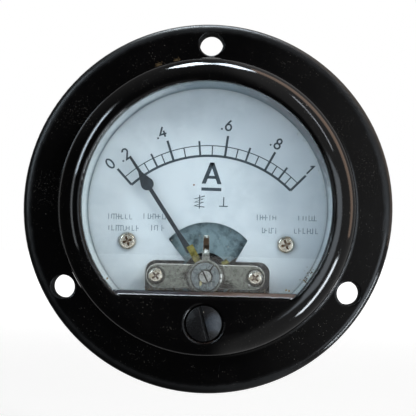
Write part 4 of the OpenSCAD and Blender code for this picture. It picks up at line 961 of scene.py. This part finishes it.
def ribbon(mesh, points, width, closed=False):
    """Lay a ribbon of ink along points, given as (x, z) in metres on the dial."""
    flat = [Vector(p) for p in points]
    count = len(flat)
    rings = []
    for i, point in enumerate(flat):
        before = flat[i - 1] if (i or closed) else point
        after = flat[(i + 1) % count] if (i < count - 1 or closed) else point
        into = (point - before).normalized() if point != before else (after - point).normalized()
        out = (after - point).normalized() if after != point else into
        side = Vector((-(into.y + out.y), into.x + out.x)).normalized()
        spread = width / 2 / max(SHARPEST_MITRE, side.dot(Vector((-out.y, out.x))))
        ring = []
        for reach, depth in ((spread, INK_THICKNESS), (-spread, INK_THICKNESS), (-spread, 0),
                             (spread, 0)):
            q = point + side * reach
            ring.append(mesh.verts.new((q.x, DIAL_FACE - depth, q.y)))
        rings.append(ring)
    skin(mesh, rings, looped=closed)


def patch_of_ink(mesh, outline):
    """A filled flat shape of ink with the given outline."""
    front = [mesh.verts.new((x, DIAL_FACE - INK_THICKNESS, z)) for x, z in outline]
    back = [mesh.verts.new((x, DIAL_FACE, z)) for x, z in outline]
    skin(mesh, [front, back])


print("pen ready")

# %% [markdown]
# ## The scale
# A moving-iron scale isn't even: it is cramped at both ends. The list gives the angle at which
# each division really stands, from upright. Its centre lies about a millimetre above the pivot,
# and the print sits a little askew on the plate, as it often does.

# %% Scale
SCALE_CENTRE = Vector((PIVOT.x + 0.33 * MM, PIVOT.z + 0.9 * MM))
PRINT_TURN = math.radians(0.75)
INNER_ARC, OUTER_ARC = 20.16 * MM, 21.95 * MM
SCALE_ANGLES = {
    0: -43.7, 0.2: -36.4, 0.25: -32.8, 0.3: -28.05, 0.35: -23.9, 0.4: -19.4, 0.45: -13.2,
    0.5: -5.9, 0.55: 0, 0.6: 6.4, 0.65: 11.9, 0.7: 16.95, 0.75: 21.9, 0.8: 27.5, 0.85: 31.4,
    0.9: 35.5, 0.95: 39.5, 1: 43.7,
}
FIGURED = (0, 0.2, 0.4, 0.6, 0.8, 1)
LONG_TICK, MIDDLE_TICK, SHORT_TICK = 3.75 * MM, 2.65 * MM, OUTER_ARC - INNER_ARC
LONG_PEN, MIDDLE_PEN, SHORT_PEN = 0.4 * MM, 0.34 * MM, 0.2 * MM
ARC_STEPS = 60


def on_scale(angle, radius):
    """A point of the print, from its angle in degrees from upright and its radius."""
    a = math.radians(angle) + PRINT_TURN
    return SCALE_CENTRE + radius * Vector((math.sin(a), math.cos(a)))


def arc_points(radius):
    """Points along an arc of the scale, from its first to its last division."""
    start, end = SCALE_ANGLES[0], SCALE_ANGLES[1]
    return [on_scale(start + (end - start) * i / ARC_STEPS, radius) for i in range(ARC_STEPS + 1)]


lines = bmesh.new()
for radius, width in ((INNER_ARC, 0.42 * MM), (OUTER_ARC, 0.16 * MM)):
    ribbon(lines, arc_points(radius), width)
finish_piece("scale_arcs", lines, ink)

# %% Divisions
ticks = bmesh.new()
for value, angle in SCALE_ANGLES.items():
    tenth = abs(value * 10 - round(value * 10)) < 1e-6
    if value in FIGURED:
        reach_out, width = LONG_TICK, LONG_PEN
    elif tenth:
        reach_out, width = MIDDLE_TICK, MIDDLE_PEN
    else:
        reach_out, width = SHORT_TICK, SHORT_PEN
    ribbon(ticks, [on_scale(angle, INNER_ARC), on_scale(angle, INNER_ARC + reach_out)], width)
finish_piece("scale_ticks", ticks, ink)

# %% [markdown]
# ## Figures
# The figures are drawn with the same pen as a draughtsman would: an ellipse, a bow, a straight
# stroke. Each stands upright on the scale's radius, a little out of line as hand-set type is.

# %% Pen strokes of the figures
def bow(cx, cy, rx, ry, start, end, steps=18):
    """Points on an ellipse between two angles in degrees, anticlockwise from the right."""
    return [
        (cx + rx * math.cos(math.radians(start + (end - start) * i / steps)),
         cy + ry * math.sin(math.radians(start + (end - start) * i / steps)))
        for i in range(steps + 1)
    ]


STROKES = {
    "0": [bow(0, 0, 0.27, 0.5, 0, 360)],
    "1": [[(-0.2, 0.25), (0.04, 0.5), (0.04, -0.5)]],
    "2": [bow(0.02, 0.24, 0.25, 0.26, 165, -40) + [(-0.22, -0.5), (0.3, -0.5)]],
    "4": [[(0.1, 0.5), (-0.32, -0.2), (0.32, -0.2)], [(0.12, 0.12), (0.12, -0.5)]],
    "6": [bow(0.02, -0.2, 0.27, 0.3, 150, 510), [(0.2, 0.5), (-0.02, 0.25), (-0.21, -0.05)]],
    "8": [bow(0, 0.26, 0.22, 0.24, 0, 360), bow(0, -0.24, 0.27, 0.26, 0, 360)],
}
print("strokes for", ", ".join(STROKES))

# %% Figures on the scale
FIGURE_HEIGHT, FIGURE_RADIUS, FIGURE_PEN = 1.8 * MM, 25.35 * MM, 0.3 * MM
FIGURE_NUDGE = {
    0: (-0.35, -0.16), 0.2: (-0.12, -0.42), 0.4: (-0.42, 0.12), 0.6: (-0.12, 0.45),
    0.8: (-0.19, 0.19), 1: (-0.28, 0),
}
POINT_LEFT, POINT_DOWN = 0.6 * FIGURE_HEIGHT, 0.44 * FIGURE_HEIGHT
figures = bmesh.new()
for value in FIGURED:
    angle = SCALE_ANGLES[value]
    upright = (on_scale(angle, 1) - on_scale(angle, 0)).normalized()
    right = Vector((upright.y, -upright.x))
    nudge_x, nudge_up = FIGURE_NUDGE[value]
    middle = on_scale(angle, FIGURE_RADIUS) + Vector((nudge_x * MM, nudge_up * MM))
    digit = f"{value:g}"[-1]
    for stroke in STROKES[digit]:
        path = [middle + (right * x + upright * y) * FIGURE_HEIGHT for x, y in stroke]
        looped = (path[0] - path[-1]).length < 0.01 * MM
        ribbon(figures, path[:-1] if looped else path, FIGURE_PEN, closed=looped)
    if 0 < value < 1:
        dot = middle - right * POINT_LEFT - upright * POINT_DOWN
        half = right * FIGURE_PEN / 2
        ribbon(figures, [dot - half, dot + half], FIGURE_PEN)
finish_piece("scale_figures", figures, ink)

# %% [markdown]
# ## Unit and signs
# Below the scale stand the unit, a heavy letter with a bar, and two small signs: a zigzag across a
# line for a moving-iron movement, and a line on a base for upright mounting.

# %% Unit letter
print_right = (on_scale(90, 1) - on_scale(90, 0)).normalized()
print_up = Vector((-print_right.y, print_right.x))


def on_print(origin, x, up):
    """A point at x and up mm from an origin, along the print's own directions."""
    return origin + (print_right * x + print_up * up) * MM


letter = bmesh.new()
letter_middle = Vector((0.64 * MM, 6.06 * MM))
HALF_WIDTH, HALF_HEIGHT, LEG, HALF_TOP = 1.76, 1.88, 0.74, 0.36
CROSSBAR = ((-0.95, -0.98), (0.95, -0.98), (0.8, -0.46), (-0.8, -0.46))
UNDERLINE, UNDERLINE_PEN = ((-1.75, -2.83), (1.75, -2.83)), 0.56 * MM
leg_outline = ((HALF_WIDTH, -HALF_HEIGHT), (HALF_WIDTH - LEG, -HALF_HEIGHT),
               (-HALF_TOP, HALF_HEIGHT), (HALF_TOP, HALF_HEIGHT))
for side in (-1, 1):
    patch_of_ink(letter, [on_print(letter_middle, side * x, up) for x, up in leg_outline])
patch_of_ink(letter, [on_print(letter_middle, x, up) for x, up in CROSSBAR])
ribbon(letter, [on_print(letter_middle, x, up) for x, up in UNDERLINE], UNDERLINE_PEN)
finish_piece("unit_letter", letter, ink)

# %% Signs of the movement and of the position
IRON_SIGN, UPRIGHT_SIGN = Vector((-1.47 * MM, 1.0 * MM)), Vector((2.8 * MM, 0.3 * MM))
ZIGZAG = ((0.95, 1.06), (-0.85, 0.5), (0.7, 0.52), (-0.8, -0.1), (0.7, -0.06), (-0.8, -0.74),
          (0.95, -0.9))
SIGN_LINES = (
    (IRON_SIGN, ((0.05, 1.2), (0.05, -1.2)), 0.16 * MM),
    (IRON_SIGN, ZIGZAG, 0.17 * MM),
    (UPRIGHT_SIGN, ((-0.76, 0), (0.76, 0)), 0.18 * MM),
    (UPRIGHT_SIGN, ((0, 0), (0, 1.62)), 0.18 * MM),
)
signs = bmesh.new()
for origin, corners, width in SIGN_LINES:
    ribbon(signs, [on_print(origin, x, up) for x, up in corners], width)
finish_piece("meter_signs", signs, ink)

# %% [markdown]
# ## Fine print
# Beside the movement stand four small blocks of fine print, of two lines each. They say nothing
# here: a row of small upright dashes keeps their grey tone and their rhythm. It could be text of
# nonsense words, but at this size only the rhythm shows.

# %% Fine print
FINE_PRINT = (
    (-17.3, -1.9, 3.9), (-17.2, -3.9, 5.0), (-11.1, -1.75, 3.9), (-9.7, -3.75, 2.2),
    (8.75, -1.5, 3.4), (9.7, -3.75, 2.4), (16.0, -1.45, 2.8), (15.3, -3.7, 4.0),
)
DASH_PEN, BAR_PEN, BAR_MM, BAR_SHARE = 0.15 * MM, 0.13 * MM, 0.42, 0.6
fine_random = random.Random(7)
fine_lines = bmesh.new()
for left, up, length in FINE_PRINT:
    x = left
    while x < left + length:
        tall = fine_random.choice((0.5, 0.5, 0.38))
        ends = ((x, up - tall), (x, up + tall))
        ribbon(fine_lines, [Vector(end) * MM for end in ends], DASH_PEN)
        if fine_random.random() < BAR_SHARE:
            bar = up + fine_random.choice((-0.4, 0, 0.4))
            ends = ((x, bar), (x + BAR_MM, bar))
            ribbon(fine_lines, [Vector(end) * MM for end in ends], BAR_PEN)
        x += fine_random.choice((0.42, 0.52, 0.75))
finish_piece("fine_print", fine_lines, faint_ink)

# %% [markdown]
# ## Threads of the terminals
# The CAD studs are plain bars. Here each gets its thread: a grid of points wrapped round the
# axis, whose radius goes up and down once per turn and is shifted by the angle, which makes the
# ridge climb. The head inside the case stays round.

# %% Measures of the studs
stud_low, stud_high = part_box("terminal_studs")
THREAD_START, THREAD_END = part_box("solder_lugs")[0].y, stud_high.y
STUD_PITCH, STUD_R, THREAD_DEPTH = 0.7 * MM, 2.0 * MM, 0.32 * MM
HEAD_R, HEAD_CHAMFER = (stud_high.z - stud_low.z) / 2, 0.3 * MM
TIP_SHARE, TIP_FADE = 0.86, 0.15
STUD_X = stud_high.x - HEAD_R
STUD_Z = (stud_high.z + stud_low.z) / 2
COLUMNS, ROWS_PER_TURN = 32, 6
print("threads are", round((THREAD_END - THREAD_START) / MM, 1), "mm long")


# %% Threaded studs
def stud_ring(mesh, x, y, radii):
    """A ring of corners round a stud's axis, with a radius for each column."""
    ring = []
    for column, radius in enumerate(radii):
        a = math.tau * column / COLUMNS
        ring.append(mesh.verts.new((x + radius * math.cos(a), y, STUD_Z + radius * math.sin(a))))
    return ring


def thread_radius(y, column):
    """The radius goes up and down once per turn, and shrinks a little at the tip."""
    phase = (y / STUD_PITCH - column / COLUMNS) % 1.0
    ridge = 1 - abs(2 * phase - 1)
    fade = min(1.0, (THREAD_END - y) / STUD_PITCH + TIP_FADE)
    return (STUD_R - THREAD_DEPTH * (1 - ridge)) * (TIP_SHARE + (1 - TIP_SHARE) * fade)


def threaded_stud(mesh, x):
    """A stud along +Y with a round head at its inner end and a helical thread."""
    rings = [
        stud_ring(mesh, x, y, [radius] * COLUMNS)
        for radius, y in ((HEAD_R - HEAD_CHAMFER, stud_low.y),
                          (HEAD_R, stud_low.y + HEAD_CHAMFER), (HEAD_R, THREAD_START))
    ]
    length = THREAD_END - THREAD_START
    rows = int(length / STUD_PITCH * ROWS_PER_TURN)
    for row in range(rows + 1):
        y = THREAD_START + length * row / rows
        rings.append(stud_ring(mesh, x, y, [thread_radius(y, k) for k in range(COLUMNS)]))
    skin(mesh, rings)


stud_mesh = bmesh.new()
for stud_side in (-1, 1):
    threaded_stud(stud_mesh, stud_side * STUD_X)
threads = finish_piece("stud_threads", stud_mesh, bpy.data.materials["brass_turned"])
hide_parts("terminal_studs")

# %% [markdown]
# ## Hairspring
# The spring is a flat spiral of bronze ribbon from the collet out to the tail of the zero lever.
# The length along it is summed from point to point.

# %% Path of the spring
SPRING_TURNS, SPRING_STEPS, TAIL_STEPS = 4.5, 216, 8
SPRING_INNER_R, SPRING_OUTER_R, SPRING_T = 1.0 * MM, 3.4 * MM, 0.1 * MM
spring_low, spring_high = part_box("hairspring")
SPRING_END_R = spring_high.z - PIVOT.z
spring_path = []
for i in range(SPRING_STEPS + 1):
    part = i / SPRING_STEPS
    a = math.radians(90 - 360 * SPRING_TURNS * (1 - part))
    r = SPRING_INNER_R + (SPRING_OUTER_R - SPRING_INNER_R) * part
    spring_path.append(Vector((r * math.cos(a), r * math.sin(a))))
for i in range(1, TAIL_STEPS + 1):
    up = SPRING_OUTER_R + (SPRING_END_R - SPRING_OUTER_R) * i / TAIL_STEPS
    spring_path.append(Vector((0, up)))
print("the spring is fixed", round(SPRING_END_R / MM, 2), "mm above the pivot")

# %% Ribbon of the spring
spring_mesh = bmesh.new()
spring_rings = []
for i, point in enumerate(spring_path):
    before, after = spring_path[max(0, i - 1)], spring_path[min(len(spring_path) - 1, i + 1)]
    along = (after - before).normalized()
    side = Vector((-along.y, along.x)) * SPRING_T / 2
    ring = []
    for reach, y in ((side, spring_low.y), (-side, spring_low.y), (-side, spring_high.y),
                     (side, spring_high.y)):
        q = point + reach
        ring.append(spring_mesh.verts.new((PIVOT.x + q.x, y, PIVOT.z + q.y)))
    spring_rings.append(ring)
skin(spring_mesh, spring_rings)
spring = new_piece("hairspring_ribbon", spring_mesh, spring_bronze)
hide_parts("hairspring")
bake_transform(spring)

# %% Length along the spring
lengths = [0.0]
for a, b in zip(spring_path, spring_path[1:]):
    lengths.append(lengths[-1] + (b - a).length)

# %% [markdown]
# ## Dirt behind the glass
# Flakes of old sealant and dust have collected along the right edge of the window, under the
# bridge and in the lower corners. They are tiny bent chips, scattered by a seeded draw, so that
# each run gives the same ones.

# %% Finishes of the dirt
pale_flakes = finish("dust_flakes", rgba(232, 232, 226), rgba(176, 172, 160), roughness=0.8,
                     grime=0.0, dust=0.0)
brown_flakes = finish("dirt_flakes", rgba(104, 92, 74), rgba(56, 48, 38), roughness=0.8,
                      grime=0.0, dust=0.0)
amber = finish("old_glue", rgba(150, 128, 72), rgba(104, 84, 42), roughness=0.35, grime=0.0,
               dust=0.0)
print("dirt:", pale_flakes.name, brown_flakes.name, amber.name)

# %% Flakes
flake_random = random.Random(11)
FLAKE_CORNERS, FLAKE_HALF_THICKNESS, FLAKE_BEND = 5, 0.15, 0.2


def flake(mesh, centre, size):
    """A thin irregular chip that lies roughly flat to the reader."""
    turn_by = flake_random.uniform(0, math.tau)
    corners = []
    for k in range(FLAKE_CORNERS):
        a = turn_by + math.tau * k / FLAKE_CORNERS
        r = size * flake_random.uniform(0.5, 1.0)
        bend = flake_random.uniform(-FLAKE_BEND, FLAKE_BEND) * size
        corners.append(centre + Vector((r * math.cos(a), bend, r * math.sin(a))))
    half = Vector((0, FLAKE_HALF_THICKNESS * size, 0))
    front = [mesh.verts.new(c - half) for c in corners]
    back = [mesh.verts.new(c + half) for c in corners]
    skin(mesh, [front, back])


print("flakes have", FLAKE_CORNERS, "corners")

# %% [markdown]
# ### Dust at the edge of the glass
# The dust sits on the back of the glass, close to the edge of the window, and gets rarer towards
# the middle. A bell curve that is cut in half gives the distance from the edge.

# %% Dust at the edge of the glass
GLASS_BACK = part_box("window_glass")[1].y
BEHIND_GLASS = 0.12 * MM


def scatter_on_glass(mesh, count, start, end, inner, outer, smallest, largest):
    """Flakes on the back of the glass, between two angles from upright and two radii in mm."""
    for _ in range(count):
        a = math.radians(flake_random.uniform(start, end))
        r = (outer - abs(flake_random.gauss(0, (outer - inner) / 2))) * MM
        spot = Vector((r * math.sin(a), GLASS_BACK + BEHIND_GLASS, r * math.cos(a)))
        flake(mesh, spot, flake_random.uniform(smallest, largest) * MM)


right_edge = bmesh.new()
scatter_on_glass(right_edge, count=120, start=38, end=84, inner=18.9, outer=20.3,
                 smallest=0.03, largest=0.1)
finish_piece("window_dust", right_edge, pale_flakes)
brown_edge = bmesh.new()
scatter_on_glass(brown_edge, count=40, start=44, end=92, inner=19.4, outer=20.4,
                 smallest=0.02, largest=0.09)
scatter_on_glass(brown_edge, count=24, start=119, end=127, inner=19.8, outer=21.0,
                 smallest=0.08, largest=0.24)
finish_piece("window_crumbs", brown_edge, brown_flakes)

# %% Dirt under the bridge
DIRT_COUNT, DIRT_HALF_WIDTH, BEHIND_BRIDGE = 150, 10.4, 0.7 * MM
bridge_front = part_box("bridge")[0].y
under_bridge = bmesh.new()
for _ in range(DIRT_COUNT):
    x = flake_random.uniform(-DIRT_HALF_WIDTH, DIRT_HALF_WIDTH) * MM
    z = PIVOT.z - flake_random.uniform(1.9, 2.9) * MM
    size = flake_random.uniform(0.08, 0.26) * MM
    flake(under_bridge, Vector((x, bridge_front + BEHIND_BRIDGE, z)), size)
finish_piece("bridge_dirt", under_bridge, brown_flakes)

# %% Spots of glue in the lower corners
GLUE_SPOTS = ((13.7, -13.8, 0.3), (14.2, -13.9, 0.24), (16.7, -12.1, 0.3), (17.0, -12.4, 0.22),
              (-16.6, -12.6, 0.26))
GLUE_BEHIND_GLASS = 0.2 * MM
glue_spots = bmesh.new()
for x, up, size in GLUE_SPOTS:
    flake(glue_spots, Vector((x * MM, GLASS_BACK + GLUE_BEHIND_GLASS, up * MM)), size * MM)
finish_piece("glue_spots", glue_spots, amber)

# %% [markdown]
# ## Lacquer dab
# The split washer is locked with a dab of pale lacquer, a small cushion with an uneven edge that
# stands about a tenth of a millimetre proud of the washer. It is drawn as rings round its top,
# each lower and wider than the one before, because a scaled sphere would look too regular.

# %% Lacquer dab
dab_finish = finish("locking_lacquer", rgba(196, 186, 142), rgba(160, 146, 100), roughness=0.4,
                    patch=1800.0, grime=0.0, dust=0.1)
DAB_RINGS, DAB_SPOKES = 4, 14
DAB_HALF_WIDTH, DAB_HALF_LENGTH, DAB_HEIGHT = 0.25 * MM, 0.45 * MM, 0.14 * MM
washer_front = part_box("lever_washer")[0].y
dab_middle = Vector((PIVOT.x - 0.77 * MM, washer_front, PIVOT.z - 1.1 * MM))
dab = bmesh.new()
dab_top = dab.verts.new(dab_middle - Vector((0, DAB_HEIGHT, 0)))
dab_rows = []
for ring in range(1, DAB_RINGS + 1):
    part = ring / DAB_RINGS
    rise = DAB_HEIGHT * math.sqrt(1 - part * part)
    row = []
    for k in range(DAB_SPOKES):
        a = math.tau * k / DAB_SPOKES
        spread = part * (1 + 0.12 * math.sin(3 * a + 1))
        row.append(dab.verts.new(dab_middle + Vector((
            DAB_HALF_WIDTH * spread * math.cos(a), -rise,
            DAB_HALF_LENGTH * spread * math.sin(a)))))
    dab_rows.append(row)
for k in range(DAB_SPOKES):
    dab.faces.new((dab_top, dab_rows[0][k], dab_rows[0][(k + 1) % DAB_SPOKES]))
for a, b in zip(dab_rows, dab_rows[1:]):
    for k in range(DAB_SPOKES):
        j = (k + 1) % DAB_SPOKES
        dab.faces.new((a[k], b[k], b[j], a[j]))
dab.faces.new(dab_rows[-1])
finish_piece("lacquer_dab", dab, dab_finish)

# %% [markdown]
# ## Floor, sky and lamps
# The background is white. The floor is a pale plane below the meter. Its shading is kept and only
# lifted towards white for the camera and for what is seen through glass, so the meter still
# throws its shadow on it. Mirror images and bounced light don't see the floor: they see the sky,
# which is white behind the meter and dim in front of it, where the reader stands. Black gloss
# only looks black if the room in front of it is dark, and it is a bit lighter at the right.

# %% Floor
FLOOR, FLOOR_HALF_SIZE = -60 * MM, 4.0
floor_mesh = bmesh.new()
bmesh.ops.create_grid(floor_mesh, x_segments=8, y_segments=8, size=FLOOR_HALF_SIZE)
floor_data = bpy.data.meshes.new("studio_floor")
floor_mesh.to_mesh(floor_data)
floor_mesh.free()
floor = bpy.data.objects.new("studio_floor", floor_data)
floor.location = (0, 0, FLOOR)
floor.visible_glossy = False
floor.visible_diffuse = False
floor.visible_shadow = False
bpy.context.scene.collection.objects.link(floor)
print("floor at", FLOOR / MM, "mm")

# %% Paint of the floor
LIFT_NEAR, LIFT_FAR = 0.6, 1.0
floor_material, floor_tree, floor_output = new_material("floor_white")
floor_tone = use(floor_tree, tone_group, light=(0.82, 0.82, 0.82, 1), dark=(0.80, 0.80, 0.80, 1),
                 scale=3.0)
floor_rays = put(floor_tree, "ShaderNodeLightPath")
floor_seen = math_node(floor_tree, "MAXIMUM", floor_rays.outputs["Is Camera Ray"],
                       floor_rays.outputs["Is Transmission Ray"])
floor_reach = put(floor_tree, "ShaderNodeVectorMath", {0: object_place(floor_tree)},
                  operation="LENGTH").outputs["Value"]
far = math_node(floor_tree, "MULTIPLY", step_between(floor_tree, floor_reach, 0.15, 1.0),
                LIFT_FAR - LIFT_NEAR)
lift = math_node(floor_tree, "MULTIPLY", floor_seen, math_node(floor_tree, "ADD", far, LIFT_NEAR))
floor_shader = put(floor_tree, "ShaderNodeBsdfPrincipled",
                   {"Base Color": floor_tone.outputs["Color"], "Roughness": 0.9,
                    "Emission Color": (1, 1, 1, 1), "Emission Strength": lift})
floor_tree.links.new(floor_shader.outputs[0], floor_output.inputs[0])
floor_data.materials.append(floor_material)
print("floor lifted by", LIFT_NEAR, "near the meter and", LIFT_FAR, "far away")

# %% Sky
ROOM, ROOM_AT_RIGHT, ROOM_OVERHEAD, BEHIND_METER = 0.019, 0.26, 0.12, 0.6
world = bpy.data.worlds.new("studio_sky")
world.use_nodes = True
sky = world.node_tree
sky.nodes.clear()
direction = put(sky, "ShaderNodeSeparateXYZ",
                {0: put(sky, "ShaderNodeTexCoord").outputs["Generated"]})
rightward = math_node(sky, "MULTIPLY", step_between(sky, direction.outputs["X"], 0.0, 0.2),
                      ROOM_AT_RIGHT)
overhead = math_node(sky, "MULTIPLY", step_between(sky, direction.outputs["Z"], 0.3, 1.0),
                     ROOM_OVERHEAD)
room = math_node(sky, "ADD", math_node(sky, "ADD", rightward, overhead), ROOM)
behind = step_between(sky, direction.outputs["Y"], 0.5, 0.85)
rays = put(sky, "ShaderNodeLightPath")
mirrored = math_node(
    sky, "MULTIPLY", behind,
    math_node(sky, "MAXIMUM", rays.outputs["Is Glossy Ray"], rays.outputs["Is Transmission Ray"]),
)
white = math_node(sky, "MAXIMUM", rays.outputs["Is Camera Ray"], mirrored)
around = math_node(sky, "ADD", room, math_node(sky, "MULTIPLY", behind, BEHIND_METER))
level = math_node(sky, "MAXIMUM", around, white)
background = put(sky, "ShaderNodeBackground", {"Color": (1, 1, 1, 1), "Strength": level})
sky.links.new(background.outputs[0], put(sky, "ShaderNodeOutputWorld").inputs[0])
bpy.context.scene.world = world
print("sky set, a room of", ROOM, "in front of the meter")

# %% [markdown]
# ### Lamps
# On black gloss a lamp is a bright shape, so each lamp is placed for the line that it draws. The
# key stands at the right and above the reader and throws the shadow of the rim on the dial. Its
# own mirror image would be a white patch, so it is hidden from gloss, and a thin lamp beside it
# draws a fine line instead. A bluish panel greys the right of the flange, and a strip at the left
# opens the shadows there. The overhead panel draws the bright arc on top of the bezel, and a
# dimmer one carries it on to the right. The low lamp at the right draws the streak at the lower
# right, and a narrow one the line on the upper left shoulder. A dim warm strip lies almost in the
# plane of the panel and draws the brown line down the right shoulder. The lamps that only draw
# highlights are hidden from diffuse light, which the key rules.


# %% A lamp
def lamp(name, right_deg, up_deg, distance, width, height, power, colour=(1, 1, 1)):
    """An area lamp that looks at the meter from a direction in front of it."""
    data = bpy.data.lights.new(name, "AREA")
    data.shape = "RECTANGLE"
    data.size, data.size_y, data.energy, data.color = width, height, power, colour
    made = bpy.data.objects.new(name, data)
    across, up = math.radians(right_deg), math.radians(up_deg)
    toward = Vector((math.sin(across) * math.cos(up), -math.cos(across) * math.cos(up),
                     math.sin(up)))
    made.location = toward * distance
    made.rotation_mode = "QUATERNION"
    made.rotation_quaternion = (-toward).to_track_quat("-Z", "Y")
    made.visible_camera = False
    bpy.context.scene.collection.objects.link(made)
    print(name, power, "W from", right_deg, "right and", up_deg, "up")
    return made


# %% Lamps that light the meter
# Each lamp has its degrees to the right and up, its distance, width and height, power and colour.
key = lamp("key_right", 45, 30, 0.8, 0.15, 0.15, 1.95, (1.0, 0.98, 0.95))
key.visible_glossy = False
lamp("strip_left", -38, 12, 0.7, 0.10, 0.55, 0.45, (0.88, 0.95, 1.0))
lamp("fill_right", 24, -5, 0.7, 0.25, 0.37, 0.65, (0.80, 0.90, 1.0))

# %% Lamps that only draw highlights
highlights = (
    lamp("key_line", 46, 34, 0.8, 0.03, 0.36, 0.45, (0.86, 0.92, 1.0)),
    lamp("overhead_panel", -60, 80, 0.6, 0.14, 0.14, 3.2, (0.84, 0.94, 1.0)),
    lamp("overhead_right", 50, 80, 0.6, 0.12, 0.16, 2.0, (0.80, 0.90, 1.0)),
    lamp("upper_left_line", -35, 19, 0.7, 0.07, 0.24, 1.0, (0.72, 0.87, 1.0)),
    lamp("low_right", 60, -30, 0.7, 0.1, 0.34, 2.6, (0.85, 0.93, 1.0)),
    lamp("warm_strip", 92, 33, 0.5, 0.18, 0.9, 1.0, (1.0, 0.70, 0.52)),
)
for drawn in highlights:
    drawn.visible_diffuse = False

# %% [markdown]
# ## End
# The dressed meter must be as large as the solids.

# %% End
print("scene dressed")
